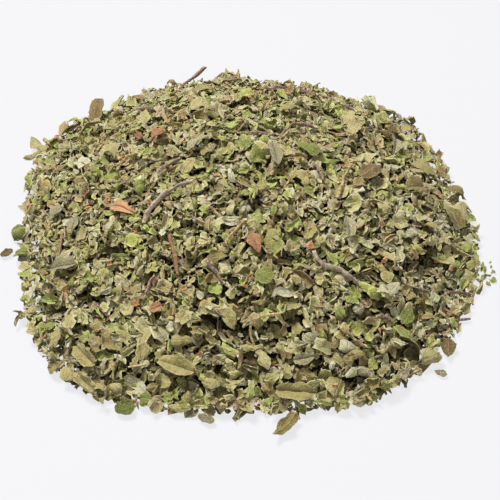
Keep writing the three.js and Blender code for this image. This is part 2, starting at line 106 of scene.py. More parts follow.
@dataclass(frozen=True)
class HeapForm:
    """The mean surface of the heap, the same as the frame's."""

    height: float = 25.0
    foot: float = 58.4
    slope_power: float = 1.8
    slope_step: float = 2.0
    lump_height: float = 0.6
    lobes: tuple[FootLobe, ...] = (
        FootLobe(1, 1.4, 161),
        FootLobe(2, 1.0, -76),
        FootLobe(3, 0.7, -10),
        FootLobe(4, 1.7, 49),
        FootLobe(5, 0.7, 10),
        FootLobe(6, 0.5, -14),
        FootLobe(7, 0.5, -6),
    )

    def foot_radius(self, angle: np.ndarray) -> np.ndarray:
        """The radius of the foot in the given directions, in radians from +X."""
        swell = sum(k.reach * np.cos(k.count * (angle - math.radians(k.at_degrees))) for k in self.lobes)
        return self.foot + swell

    def share_out(self, x: np.ndarray, y: np.ndarray) -> np.ndarray:
        """How far out places lie: 0 at the crown, 1 at the foot."""
        return np.hypot(x, y) / self.foot_radius(np.arctan2(y, x))

    def surface(self, x: np.ndarray, y: np.ndarray) -> np.ndarray:
        """Works out the height of the mean surface.

        Args:
            x: how far right the places lie.
            y: how far back they lie.

        Returns:
            The heights, 0 outside the foot.
        """
        out = np.minimum(self.share_out(x, y), 1.0)
        lump = self.lump_height * np.sin(0.13 * x + 1.0) * np.sin(0.15 * y + 0.4)
        return self.height * (1 - out**self.slope_power) + lump * (1 - out**2)

    def normal(self, x: float, y: float) -> np.ndarray:
        """Works out which way the mean surface faces at one place.

        Args:
            x: how far right the place lies.
            y: how far back it lies.

        Returns:
            The upward unit normal.
        """
        step = self.slope_step
        xs = np.array([x + step, x - step, x, x])
        ys = np.array([y, y, y + step, y - step])
        z = self.surface(xs, ys)
        normal = np.array([(z[1] - z[0]) / (2 * step), (z[3] - z[2]) / (2 * step), 1.0])
        return normal / np.linalg.norm(normal)


class HeightField:
    """How high the heap stands so far, and how high it may come, on a square grid of cells."""

    half = 74.0
    cell = 0.5
    ceiling = 40.0

    def __init__(self, form: HeapForm, depth: float) -> None:
        """Starts from the inner mass.

        Args:
            form: the heap's mean surface.
            depth: how far the inner mass lies under that surface.
        """
        self.side = int(2 * self.half / self.cell) + 1
        line = np.linspace(-self.half, self.half, self.side)
        x, y = np.meshgrid(line, line)
        self.top = np.maximum(form.surface(x, y) - depth, 0.0).ravel()
        self.roof = np.full(self.top.shape, np.inf)

    def cells(self, x: np.ndarray, y: np.ndarray) -> np.ndarray:
        """Finds the cells that places lie in.

        Args:
            x: how far right the places lie.
            y: how far back they lie.

        Returns:
            The number of each place's cell.
        """
        column = np.clip(np.rint((x + self.half) / self.cell), 0, self.side - 1).astype(int)
        row = np.clip(np.rint((y + self.half) / self.cell), 0, self.side - 1).astype(int)
        return row * self.side + column

    def mean_top(self, reach: int) -> np.ndarray:
        """Evens the heights out over their surroundings.

        Args:
            reach: how many cells to each side a mean is taken over.

        Returns:
            The mean height round every cell.
        """
        span = 2 * reach + 1
        padded = np.pad(self.top.reshape(self.side, self.side), reach + 1, mode="edge")
        sums = padded.cumsum(0).cumsum(1)
        block = sums[span:, span:] - sums[:-span, span:] - sums[span:, :-span] + sums[:-span, :-span]
        return (block[: self.side, : self.side] / span**2).ravel()

    def shelter(self, points: np.ndarray) -> None:
        """Keeps what comes later under points of a piece that lies on top."""
        np.minimum.at(self.roof, self.cells(points[:, 0], points[:, 1]), points[:, 2])


# Blanks: flat closed shapes that every flake, leaf and stem is bent from


class BlankKind(Enum):
    """What a blank is cut to."""

    CRUMB = "crumbs"
    FRAGMENT = "fragments"
    LEAFLET = "leaflets"
    SHARD = "shards"
    TWIG = "twigs"
    LEAF = "leaves"
    STEM = "stems"


@dataclass(frozen=True)
class BlankCut:
    """How a blank is cut: its grid, its half widths from end to end, and how ragged its rim is."""

    kind: BlankKind
    columns: int
    rows: int
    widths: tuple[float, ...]
    ragged: float
    thickness: float
    seed: int


@dataclass(eq=False)
class Blank:
    """A closed shape of unit length, with what its copies need.

    Its points hold the place along (-0.5 to 0.5), the place across and the offset through the blade.
    """

    kind: BlankKind
    points: np.ndarray
    loops: np.ndarray
    sizes: np.ndarray
    uv: np.ndarray
    rim: np.ndarray
    dense: np.ndarray
    corner: np.ndarray

    @property
    def triangles(self) -> int:
        """How many triangles one copy has."""
        return int((self.sizes - 2).sum())


class BlankMaker:
    """Models blanks with Blender's own tools and reads them into arrays."""

    rods = (BlankKind.TWIG, BlankKind.STEM)
    near = 1e-4  # how close to its column a vertex lies
    rod_end = 0.499  # how far out along a rod its end rings lie
    level = 0.5  # how far up or down the normal of a blade's upper or lower face points at least
    face_area = (0.46, 0.88)  # what of the baking square the upper faces take up, and the lower ones too
    upper_corner = (0.02, 0.01)
    lower_corner = (0.52, 0.01)

    def model(self, cut: BlankCut) -> Blank:
        """Models one blank.

        Args:
            cut: the outline and the thickness to give it.

        Returns:
            The blank, with its stand-in object removed.
        """
        bpy.ops.object.select_all(action="DESELECT")
        body = self._rod(cut) if cut.kind in self.rods else self._blade(cut)
        blank = self._read(body, cut)
        bpy.data.meshes.remove(body.data)
        return blank

    def _blade(self, cut: BlankCut) -> bpy.types.Object:
        """Models a flat blade: a grid whose columns are drawn to the outline, made ragged and thickened.

        Args:
            cut: the outline and the thickness to give it.

        Returns:
            The blade.
        """
        bpy.ops.mesh.primitive_grid_add(x_subdivisions=cut.columns, y_subdivisions=cut.rows, size=1.0)
        body = bpy.context.object
        bpy.ops.object.mode_set(mode="EDIT")
        self._draw_in(body, cut)
        self._tear(body, cut, lambda vertex: vertex.is_boundary, 2)
        bpy.ops.object.mode_set(mode="OBJECT")
        shell = body.modifiers.new("thickness", "SOLIDIFY")
        shell.thickness = cut.thickness
        shell.offset = 0.0
        bpy.ops.object.modifier_apply(modifier=shell.name)
        return body

    def _rod(self, cut: BlankCut) -> bpy.types.Object:
        """Models a rod along X: rows sides round and columns spans long, with its end rings drawn in.

        Args:
            cut: the outline to give it.

        Returns:
            The rod.
        """
        bpy.ops.mesh.primitive_cylinder_add(
            vertices=cut.rows, radius=0.5, depth=1.0, end_fill_type="NGON", rotation=(0, TURN / 4, 0)
        )
        body = bpy.context.object
        bpy.ops.object.transform_apply(location=False, rotation=True, scale=False)
        bpy.ops.object.mode_set(mode="EDIT")
        for span in range(1, cut.columns):
            bpy.ops.mesh.select_all(action="SELECT")
            bpy.ops.mesh.bisect(plane_co=(span / cut.columns - 0.5, 0, 0), plane_no=(1, 0, 0))
        self._draw_in(body, cut)
        self._tear(body, cut, lambda vertex: abs(vertex.co.x) > self.rod_end, 1)
        bpy.ops.object.mode_set(mode="OBJECT")
        return body

    def _draw_in(self, body: bpy.types.Object, cut: BlankCut) -> None:
        """Draws each column of vertices to its width.

        Args:
            body: the blade or rod, in edit mode.
            cut: its outline.
        """
        bpy.ops.mesh.select_mode(type="VERT")
        for column, width in enumerate(cut.widths):
            x = column / cut.columns - 0.5
            self._pick(body, lambda vertex: abs(vertex.co.x - x) < self.near)
            bpy.ops.transform.resize(value=(1.0, 2.0 * width, 2.0 * width), center_override=(0, 0, 0))

    def _tear(
        self, body: bpy.types.Object, cut: BlankCut, torn: Callable[[bmesh.types.BMVert], bool], axes: int
    ) -> None:
        """Moves corners a little at random, as where a leaf tore or a stem snapped.

        Args:
            body: the blade or rod, in edit mode.
            cut: how ragged it is, and its seed.
            torn: says of a vertex whether it moves.
            axes: 1 where the corners move along the body only, and 2 where they move across it too.
        """
        random = np.random.default_rng(cut.seed)
        corners = [vertex.index for vertex in bmesh.from_edit_mesh(body.data).verts if torn(vertex)]
        for corner in corners:
            self._pick(body, lambda vertex: vertex.index == corner)
            moves = random.uniform(-cut.ragged, cut.ragged, axes)
            bpy.ops.transform.translate(value=(*moves, 0.0, 0.0)[:3])

    @staticmethod
    def _pick(body: bpy.types.Object, wanted: Callable[[bmesh.types.BMVert], bool]) -> None:
        """Selects vertices, and nothing else.

        Args:
            body: the object, in edit mode.
            wanted: says of a vertex whether it is selected.
        """
        mesh = bmesh.from_edit_mesh(body.data)
        picked = [vertex for vertex in mesh.verts if wanted(vertex)]
        for vertex in mesh.verts:
            vertex.select_set(False)
        for vertex in picked:
            vertex.select_set(True)
        bmesh.update_edit_mesh(body.data)

    def _read(self, body: bpy.types.Object, cut: BlankCut) -> Blank:
        """Reads a modelled blank into arrays.

        Args:
            body: the blade or rod.
            cut: what it was cut to.

        Returns:
            The blank.
        """
        mesh = body.data
        points = coordinates(mesh)
        loops = np.empty(len(mesh.loops), int)
        mesh.loops.foreach_get("vertex_index", loops)
        sizes = np.array([len(face.vertices) for face in mesh.polygons])
        upward = np.array([face.normal.z for face in mesh.polygons])
        if cut.kind in self.rods:
            rim = 2 * points[:, 2]
        else:
            rim = np.zeros(len(points))
            rim[loops[np.repeat(np.abs(upward) < self.level, sizes)]] = 1.0
        uv = self._layout(points, loops, sizes, upward)
        dense = self._dense(points, loops, sizes, upward)
        _, corner = np.unique(np.round(points[:, :2], 3), axis=0, return_inverse=True)
        return Blank(cut.kind, points, loops, sizes, uv, rim, dense, corner.ravel())

    def _layout(
        self, points: np.ndarray, loops: np.ndarray, sizes: np.ndarray, upward: np.ndarray
    ) -> np.ndarray:
        """Lays the faces out in a square: upper ones left, lower ones right, the rim along the top.

        Args:
            points: the blank's vertices.
            loops: the vertex at each face corner.
            sizes: how many corners each face has.
            upward: how far up each face's normal points.

        Returns:
            The place of each face corner in the square.
        """
        uv = np.zeros((len(loops), 2))
        low, high = points.min(0), points.max(0)
        flat = (points[:, :2] - low[:2]) / np.maximum(high[:2] - low[:2], TINY)
        edges = [face for face in range(len(sizes)) if abs(upward[face]) < self.level]
        start = 0
        for face, size in enumerate(sizes):
            corners = loops[start : start + size]
            if face in edges:
                turn = np.arange(size) / size * TURN
                strip = np.stack([0.5 + 0.5 * np.cos(turn), 0.5 + 0.5 * np.sin(turn)], 1)
                place = strip * (0.9 / len(edges), 0.07) + (edges.index(face) / len(edges), 0.92)
            else:
                place = flat[corners] * self.face_area
                place += self.upper_corner if upward[face] > 0 else self.lower_corner
            uv[start : start + size] = place
            start += size
        return uv

    def _dense(
        self, points: np.ndarray, loops: np.ndarray, sizes: np.ndarray, upward: np.ndarray
    ) -> np.ndarray:
        """Spreads samples over the upper faces, closer than their corners are.

        Args:
            points: the blank's vertices.
            loops: the vertex at each face corner.
            sizes: how many corners each face has.
            upward: how far up each face's normal points.

        Returns:
            The weights that turn a copy's points into its samples.
        """
        rows = []
        start = 0
        for face, size in enumerate(sizes):
            corners = loops[start : start + size]
            start += size
            if upward[face] < self.level:
                continue
            for pair in [(c,) for c in corners] + list(zip(corners, np.roll(corners, 1))) + [tuple(corners)]:
                row = np.zeros(len(points))
                row[list(pair)] = 1.0 / len(pair)
                rows.append(row)
        return np.unique(np.array(rows), axis=0)


FLAKE_CUTS: tuple[BlankCut, ...] = (
    BlankCut(BlankKind.CRUMB, 2, 2, (0.30, 0.46, 0.34), 0.10, 0.10, 1),
    BlankCut(BlankKind.CRUMB, 2, 2, (0.42, 0.38, 0.20), 0.12, 0.10, 2),
    BlankCut(BlankKind.CRUMB, 2, 2, (0.22, 0.36, 0.30), 0.12, 0.09, 3),
    BlankCut(BlankKind.FRAGMENT, 4, 3, (0.26, 0.36, 0.42, 0.38, 0.24), 0.055, 0.055, 4),
    BlankCut(BlankKind.FRAGMENT, 4, 3, (0.40, 0.42, 0.36, 0.28, 0.10), 0.055, 0.050, 5),
    BlankCut(BlankKind.FRAGMENT, 4, 3, (0.14, 0.30, 0.40, 0.44, 0.40), 0.060, 0.050, 6),
    BlankCut(BlankKind.FRAGMENT, 4, 3, (0.34, 0.28, 0.32, 0.40, 0.30), 0.065, 0.055, 7),
    BlankCut(BlankKind.FRAGMENT, 4, 3, (0.20, 0.40, 0.34, 0.22, 0.16), 0.060, 0.050, 8),
    BlankCut(BlankKind.FRAGMENT, 4, 3, (0.30, 0.44, 0.46, 0.34, 0.14), 0.050, 0.050, 9),
    BlankCut(BlankKind.LEAFLET, 5, 3, (0.05, 0.30, 0.40, 0.40, 0.28, 0.06), 0.035, 0.045, 10),
    BlankCut(BlankKind.LEAFLET, 5, 3, (0.20, 0.26, 0.33, 0.36, 0.30, 0.05), 0.040, 0.045, 11),
    BlankCut(BlankKind.LEAFLET, 5, 3, (0.16, 0.38, 0.46, 0.42, 0.40, 0.26), 0.045, 0.045, 12),
    BlankCut(BlankKind.SHARD, 5, 2, (0.06, 0.13, 0.16, 0.15, 0.12, 0.05), 0.025, 0.040, 13),
    BlankCut(BlankKind.SHARD, 5, 2, (0.12, 0.17, 0.15, 0.11, 0.09, 0.06), 0.030, 0.040, 14),
    BlankCut(BlankKind.TWIG, 4, 5, (0.040, 0.050, 0.044, 0.048, 0.042), 0.02, 0.0, 15),
)
LEAF_OUTLINES: tuple[tuple[float, tuple[float, ...]], ...] = (
    (0.022, (0.03, 0.2, 0.33, 0.42, 0.47, 0.5, 0.5, 0.48, 0.44, 0.37, 0.28, 0.16, 0.03)),
    (0.028, (0.03, 0.24, 0.38, 0.46, 0.5, 0.5, 0.46, 0.42, 0.4, 0.4, 0.38, 0.3, 0.2)),
    (0.030, (0.22, 0.34, 0.4, 0.46, 0.5, 0.5, 0.48, 0.42, 0.36, 0.28, 0.2, 0.12, 0.03)),
    (0.030, (0.24, 0.42, 0.5, 0.54, 0.56, 0.56, 0.55, 0.54, 0.52, 0.48, 0.42, 0.34, 0.18)),
    (0.036, (0.08, 0.2, 0.26, 0.34, 0.42, 0.46, 0.48, 0.5, 0.44, 0.46, 0.34, 0.3, 0.26)),
    (0.034, (0.3, 0.34, 0.4, 0.36, 0.42, 0.5, 0.54, 0.5, 0.42, 0.3, 0.26, 0.14, 0.03)),
)
LEAF_CUTS: tuple[BlankCut, ...] = tuple(
    BlankCut(BlankKind.LEAF, 12, 8, widths, ragged, 0.022, seed)
    for seed, (ragged, widths) in enumerate(LEAF_OUTLINES, 21)
)
ROUND_LEAF = 3  # the place of the roundest outline among them
STEM_CUT = BlankCut(BlankKind.STEM, 28, 10, (0.46,) + (0.5,) * 27 + (0.44,), 0.004, 0.0, 31)


# Bending: what turns a flat blank into a dried, cupped, curled or folded blade


@dataclass
class Bends:
    """How each copy of a blank is sized and bent. Every array has a row for each copy."""

    length: np.ndarray
    width: np.ndarray
    thickness: np.ndarray
    arch: np.ndarray
    fold: np.ndarray
    wave: np.ndarray
    waves: np.ndarray
    phase: np.ndarray
    roll_across: np.ndarray
    roll_along: np.ndarray
    twist: np.ndarray
    lip: np.ndarray
    crease: np.ndarray
    crease_at: np.ndarray
    crumple: float
    tear: float

    def apply(self, blank: Blank, random: np.random.Generator) -> np.ndarray:
        """Bends the copies.

        Args:
            blank: the flat shape.
            random: the source of each copy's own crumples and torn rim.

        Returns:
            An array of copies by points by 3, each copy lying about its own origin.
        """
        shift = random.normal(0.0, 1.0, (len(self.length), blank.corner.max() + 1, 3))[:, blank.corner]
        x = (blank.points[:, 0] + self.tear * shift[..., 0]) * self.length
        y = (blank.points[:, 1] + self.tear * shift[..., 1]) * self.width
        along, across = 2 * blank.points[:, 0], 2 * blank.points[:, 1]
        turn = TURN * (self.waves * along / 2 + self.phase)
        z = self.arch * self.length * (0.5 - along**2)
        z = z + self.fold * np.abs(y)
        z = z + self.wave * self.width * across * np.abs(across) * np.sin(turn)
        z = z + blank.points[:, 2] * self.thickness + self.crumple * shift[..., 2] * self.length
        z = z + self.lip * self.length * blank.rim
        heading, offset = self.crease_at[:, :1], self.crease_at[:, 1:]
        z = z + self.crease * np.abs(x * np.cos(heading) + y * np.sin(heading) - offset * self.length)
        y, z = self._rolled(y, z, self.roll_across / self.width)
        x, z = self._rolled(x, z, self.roll_along / self.length)
        angle = self.twist * along / 2
        y, z = y * np.cos(angle) - z * np.sin(angle), y * np.sin(angle) + z * np.cos(angle)
        bent = np.stack([x, y, z], -1)
        return bent - bent.mean(1, keepdims=True)

    @staticmethod
    def _rolled(
        u: np.ndarray, z: np.ndarray, curvature: np.ndarray, flattest: float = 1e-4
    ) -> tuple[np.ndarray, np.ndarray]:
        """Rolls flat strips about an axis over them.

        Args:
            u: the place along the strip.
            z: the height over it.
            curvature: how strongly each strip is rolled, in radians a millimetre.
            flattest: the least curvature, which stands for none.

        Returns:
            The place along and the height after it.
        """
        k = np.where(np.abs(curvature) < flattest, flattest, curvature)
        angle = k * u
        return (1 / k - z) * np.sin(angle), 1 / k - (1 / k - z) * np.cos(angle)


@dataclass(frozen=True)
class Habit:
    """How strongly a kind of flake is bent, as the spread of each bend, and how it is proportioned."""

    widths: tuple[float, float]
    arch: float
    fold: float
    wave: float
    roll_across: float
    roll_along: float
    twist: float
    lip: float
    crease: float
    crumple: float
    tear: float
    cup: float = 0.75
    own: float = 0.6  # what of an arch, a roll or a lip a copy has besides its cup
    thickened: tuple[float, float] = (0.9, 1.6)
    waves: tuple[float, float] = (0.7, 2.0)
    crease_off: float = 0.25  # how far from its middle a blade may be creased

    def draw(self, lengths: np.ndarray, random: np.random.Generator) -> Bends:
        """Draws the bends of copies.

        Args:
            lengths: the copies' lengths.
            random: the source of their bends.

        Returns:
            The bends, with a row for each copy.
        """
        shape = (len(lengths), 1)
        length = lengths[:, None]

        def spread(size: float) -> np.ndarray:
            """A bend for each copy, about none."""
            return random.normal(0.0, size, shape)

        cup = spread(self.cup)
        return Bends(
            length=length,
            width=length * random.uniform(*self.widths, shape),
            thickness=length * random.uniform(*self.thickened, shape),
            arch=self.arch * cup + spread(self.own * self.arch),
            fold=spread(self.fold),
            wave=spread(self.wave),
            waves=random.uniform(*self.waves, shape),
            phase=random.uniform(0, 1, shape),
            roll_across=-self.roll_across * cup + spread(self.own * self.roll_across),
            roll_along=-self.roll_along * cup + spread(self.own * self.roll_along),
            twist=spread(self.twist),
            lip=spread(self.lip) - self.own * self.lip * cup,
            crease=spread(self.crease),
            crease_at=random.uniform((0, -self.crease_off), (TURN, self.crease_off), (len(lengths), 2)),
            crumple=self.crumple,
            tear=self.tear,
        )


HABITS: dict[BlankKind, Habit] = {
    BlankKind.CRUMB: Habit((0.55, 1.1), 0.16, 0.30, 0.10, 1.3, 0.9, 0.5, 0.0, 0.25, 0.08, 0.08),
    BlankKind.FRAGMENT: Habit((0.5, 1.0), 0.14, 0.35, 0.14, 1.7, 1.0, 0.5, 0.07, 0.35, 0.05, 0.055),
    BlankKind.LEAFLET: Habit((0.40, 0.85), 0.13, 0.50, 0.13, 1.9, 0.9, 0.45, 0.06, 0.35, 0.035, 0.032),
    BlankKind.SHARD: Habit((0.7, 1.3), 0.15, 0.45, 0.10, 2.0, 1.5, 0.9, 0.03, 0.25, 0.045, 0.030),
    BlankKind.TWIG: Habit((0.8, 1.2), 0.03, 0.0, 0.0, 0.0, 0.5, 0.0, 0.0, 0.0, 0.0, 0.0),
    BlankKind.LEAF: Habit((0.36, 0.60), 0.18, 0.55, 0.20, 2.6, 1.3, 0.7, 0.05, 0.50, 0.014, 0.012),
}


# Finishes


class Finish(Enum):
    """The finishes of the heap, each named as its material slot in the record."""

    GREY_GREEN = "grey_green_leaf"
    SAGE = "sage_leaf"
    FRESH_GREEN = "fresh_green_leaf"
    OLIVE_BROWN = "olive_brown_leaf"
    PURPLE_STEM = "purple_stem"
    STRAW_STEM = "straw_stem"
    RUST = "rust_chip"


Colour = tuple[float, float, float]


def linear(red: int, green: int, blue: int) -> Colour:
    """Turns a colour from its display values into a linear one.

    Args:
        red: how red it shows, 0 to 255.
        green: how green.
        blue: how blue.

    Returns:
        The linear colour.
    """

    def channel(value: int) -> float:
        """One display value made linear."""
        share = value / 255
        return share / 12.92 if share <= 0.04045 else ((share + 0.055) / 1.055) ** 2.4

    return channel(red), channel(green), channel(blue)


class Value:
    """A shader value that takes part in Python arithmetic."""

    def __init__(self, shade: "Shade", socket: bpy.types.NodeSocket) -> None:
        """Wraps an output socket of a material's tree."""
        self.shade = shade
        self.socket = socket

    def _math(self, operation: str, *values: "Value | float") -> "Value":
        """Adds a Math node on the values."""
        node = self.shade.node("ShaderNodeMath", {"operation": operation}, dict(enumerate(values)))
        return Value(self.shade, node.outputs[0])

    def __add__(self, other: "Value | float") -> "Value":
        """The sum."""
        return self._math("ADD", self, other)

    __radd__ = __add__

    def __mul__(self, other: "Value | float") -> "Value":
        """The product."""
        return self._math("MULTIPLY", self, other)

    __rmul__ = __mul__

    def __sub__(self, other: "Value | float") -> "Value":
        """The difference."""
        return self._math("SUBTRACT", self, other)

    def __rsub__(self, other: "Value | float") -> "Value":
        """The difference from a number."""
        return self._math("SUBTRACT", other, self)

    def __pow__(self, other: float) -> "Value":
        """The power."""
        return self._math("POWER", self, other)

    def __abs__(self) -> "Value":
        """The value without its sign."""
        return self._math("ABSOLUTE", self)

    def smooth(self, low: float, high: float) -> "Value":
        """Fades in over a range.

        Args:
            low: the value under which the result is 0.
            high: the value over which it is 1.

        Returns:
            The result, smooth between.
        """
        settings = {"interpolation_type": "SMOOTHSTEP", "clamp": True}
        values = {"Value": self, "From Min": low, "From Max": high, "To Min": 0.0, "To Max": 1.0}
        node = self.shade.node("ShaderNodeMapRange", settings, values)
        return Value(self.shade, node.outputs["Result"])


class Shade:
    """A material in the making: its node tree and the one method that adds a node to it."""

    specular = 0.28
    sheen_rough = 0.5

    def __init__(self, name: str) -> None:
        """Starts a material with a plain surface shader.

        Args:
            name: the material's name.
        """
        self.material = bpy.data.materials.new(name)
        self.material.use_nodes = True
        self.tree = self.material.node_tree
        self.surface = self.tree.nodes["Principled BSDF"]

    def node(self, kind: str, settings: dict | None = None, values: dict | None = None) -> bpy.types.Node:
        """Adds a node.

        Args:
            kind: the node's type.
            settings: its own settings, such as an operation or a ramp's stops, set first.
            values: what its inputs hold, by name or number: a number, a colour, or a Value to link.

        Returns:
            The new node.
        """
        node = self.tree.nodes.new(kind)
        for name, setting in (settings or {}).items():
            if name == "stops":
                self._set_stops(node.color_ramp, setting)
            else:
                setattr(node, name, setting)
        for name, value in (values or {}).items():
            self.give(node.inputs[name], value)
        return node

    def give(self, socket: bpy.types.NodeSocket, value: object) -> None:
        """Links a Value to an input, or sets a constant on it.

        Args:
            socket: the input.
            value: the Value, number or colour.
        """
        if isinstance(value, Value):
            self.tree.links.new(value.socket, socket)
        else:
            socket.default_value = value

    @staticmethod
    def _set_stops(ramp: bpy.types.ColorRamp, stops: tuple[tuple[float, Colour], ...]) -> None:
        """Sets a ramp's stops.

        Args:
            ramp: the ramp.
            stops: the place and the colour of each.
        """
        while len(ramp.elements) < len(stops):
            ramp.elements.new(1.0)
        for element, (place, colour) in zip(ramp.elements, stops):
            element.position = place
            element.color = (*colour, 1.0)

    def parts(self, name: str) -> tuple[Value, Value, Value]:
        """Reads a piece's own attribute.

        Args:
            name: the attribute's name.

        Returns:
            Its three numbers.
        """
        source = self.node("ShaderNodeAttribute", {"attribute_name": name})
        split = self.node("ShaderNodeSeparateXYZ", values={0: Value(self, source.outputs["Vector"])})
        return tuple(Value(self, out) for out in split.outputs)

    def noise(self, size: float, detail: float = 3.0) -> Value:
        """A noise over the piece, its lumps about the given size in millimetres."""
        place = Value(self, self.node("ShaderNodeTexCoord").outputs["Object"])
        return self._noise_at(place, 1 / (size * MM), detail)

    def streaks(self, scale: tuple[float, float, float], detail: float = 3.0) -> Value:
        """Makes a noise that is drawn out along a stem.

        Args:
            scale: how fine it is along, across and round.
            detail: how many finer noises are in it.

        Returns:
            The noise.
        """
        source = self.node("ShaderNodeAttribute", {"attribute_name": "blade"})
        values = {0: Value(self, source.outputs["Vector"]), 1: scale}
        drawn = self.node("ShaderNodeVectorMath", {"operation": "MULTIPLY"}, values)
        return self._noise_at(Value(self, drawn.outputs[0]), 1.0, detail)

    def _noise_at(self, place: Value, scale: float, detail: float) -> Value:
        """A noise at the given places."""
        values = {"Vector": place, "Scale": scale, "Detail": detail}
        return Value(self, self.node("ShaderNodeTexNoise", values=values).outputs["Fac"])

    def ramp(self, value: Value, stops: tuple[tuple[float, Colour], ...]) -> Value:
        """A colour that a value picks between stops."""
        node = self.node("ShaderNodeValToRGB", {"stops": stops}, {"Fac": value})
        return Value(self, node.outputs["Color"])

    def mix(self, share: Value, under: Value, over: Colour) -> Value:
        """Lays one colour over another.

        Args:
            share: how far the upper one covers.
            under: the lower one.
            over: the upper one.

        Returns:
            The mixed colour.
        """
        node = self.node("ShaderNodeMix", {"data_type": "RGBA", "blend_type": "MIX", "clamp_factor": True})
        self.give(node.inputs[0], share)
        self.give(node.inputs[6], under)
        self.give(node.inputs[7], (*over, 1.0))
        return Value(self, node.outputs[2])

    def bump(self, height: Value, distance: float) -> Value:
        """A normal from a height, where distance is in millimetres."""
        values = {"Height": height, "Distance": distance * MM, "Strength": 1.0}
        return Value(self, self.node("ShaderNodeBump", values=values).outputs["Normal"])

    def dress(self, colour: Value, roughness: Value, normal: Value, sheen: float) -> bpy.types.Material:
        """Gives the surface shader what varies over the piece, and its constants.

        Args:
            colour: the base colour.
            roughness: the roughness.
            normal: the bumped normal.
            sheen: how strong its sheen is.

        Returns:
            The finished material.
        """
        self.give(self.surface.inputs["Base Color"], colour)
        self.give(self.surface.inputs["Roughness"], roughness)
        self.give(self.surface.inputs["Normal"], normal)
        self.surface.inputs["Specular IOR Level"].default_value = self.specular
        self.surface.inputs["Sheen Weight"].default_value = sheen
        self.surface.inputs["Sheen Roughness"].default_value = self.sheen_rough
        return self.material


@dataclass(frozen=True)
class DriedLeaf:
    """The finish of dried leaf: a palette by flake, mottling, downy specks, a pale rim and midrib.

    Each flake carries its own tone, hue and age in the attribute "shade", and each point its place
    along, its place across and how near the rim it is in the attribute "blade". A tone under 0 darkens
    the colour. For a flake that lies deep in a gap among its neighbours this is painted shade; for a
    leaf of the frame it is a darker colour of its own.
    """

    name: str
    tones: tuple[tuple[float, Colour], ...]
    yellowed: Colour
    browned: Colour
    # the pale colour of the midrib, which is its own, and of the rim, which is partly the blade's own paler
    # edge and partly painted highlight where curled edges catch the light
    rim: Colour
    down: Colour
    # the dark colour: dark specks, the darker leaves of the frame, and painted shade on flakes deep in gaps
    shadowed: Colour = (0.044, 0.034, 0.006)
    mottle_size: float = 1.3
    patch_size: float = 0.8
    speck_size: float = 0.3
    speck_range: tuple[float, float] = (0.52, 0.64)
    grain_size: float = 0.45
    grain_depth: float = 0.30
    yellow_share: float = 0.9
    brown_share: float = 0.85
    down_share: float = 0.31
    dark_share: float = 0.30
    # how far a tone under 0 darkens: painted shade in a gap, or a darker leaf of the frame
    gap_share: float = 0.55
    midrib_share: float = 0.25
    midrib_width: float = 0.09
    sheen: float = 0.1

    def make(self) -> bpy.types.Material:
        """Builds the material.

        Returns:
            The material.
        """
        shade = Shade(self.name)
        tone, hue, age = shade.parts("shade")
        _, across, rim = shade.parts("blade")
        mottle = shade.noise(self.mottle_size)
        patch = shade.noise(self.patch_size, 2.0)
        speck = shade.noise(self.speck_size)
        colour = shade.ramp(tone * 0.86 + mottle * 0.28 - 0.07, self.tones)
        midrib = 1 - abs(across).smooth(0.0, self.midrib_width)
        layers = (
            ((hue * 0.6 + patch * 1.4).smooth(0.8, 1.5) * self.yellow_share, self.yellowed),
            ((age * 0.7 + mottle * 1.2).smooth(0.9, 1.4) * self.brown_share, self.browned),
            (speck.smooth(*self.speck_range) * self.down_share, self.down),
            ((1 - speck).smooth(*self.speck_range) * self.dark_share, self.shadowed),
            (midrib * self.midrib_share, self.rim),
            # pale rim: partly the edge's own paler colour, partly painted highlight
            (rim**2.0 * (0.22 + 0.42 * hue), self.rim),
            # painted shade: a tone under 0 darkens a flake that lies deep in a gap
            ((0 - tone).smooth(0.0, 1.0) * self.gap_share, self.shadowed),
        )
        for share, over in layers:
            colour = shade.mix(share, colour, over)
        height = shade.noise(self.grain_size) + mottle * 0.6 - midrib * 0.4
        roughness = 0.68 + 0.2 * mottle
        return shade.dress(colour, roughness, shade.bump(height, self.grain_depth), self.sheen)


@dataclass(frozen=True)
class DriedStem:
    """The finish of dried stem: long streaks, flaked bark, dark scars and a pale broken end."""

    name: str
    tones: tuple[tuple[float, Colour], ...]
    streak: Colour
    pith: Colour
    scar: Colour = (0.03, 0.018, 0.012)
    greyed: Colour = linear(172, 160, 142)
    streak_share: float = 0.6
    grey_share: float = 0.65
    pith_share: float = 0.7
    scar_share: float = 0.6
    bark_depth: float = 0.14
    sheen: float = 0.05

    def make(self) -> bpy.types.Material:
        """Builds the material.

        Returns:
            The material.
        """
        shade = Shade(self.name)
        tone, hue, age = shade.parts("shade")
        along, _, _ = shade.parts("blade")
        mottle = shade.noise(1.0)
        streak = shade.streaks((5.0, 2.6, 2.6))
        bark = shade.streaks((9.0, 0.8, 0.8), 4.0)
        colour = shade.ramp(tone * 0.6 + mottle * 0.5 - 0.05, self.tones)
        layers = (
            (streak.smooth(0.46, 0.64) * self.streak_share, self.streak),
            (hue.smooth(0.8, 1.0) * self.grey_share, self.greyed),
            (bark.smooth(0.56, 0.64) * self.pith_share, self.pith),
            ((1 - bark).smooth(0.58, 0.66) * self.scar_share, self.scar),
            (abs(along).smooth(0.92, 1.0) * (0.3 + 0.5 * age), self.pith),
        )
        for share, over in layers:
            colour = shade.mix(share, colour, over)
        roughness = 0.6 + 0.25 * mottle
        return shade.dress(colour, roughness, shade.bump(streak + bark * 0.8, self.bark_depth), self.sheen)


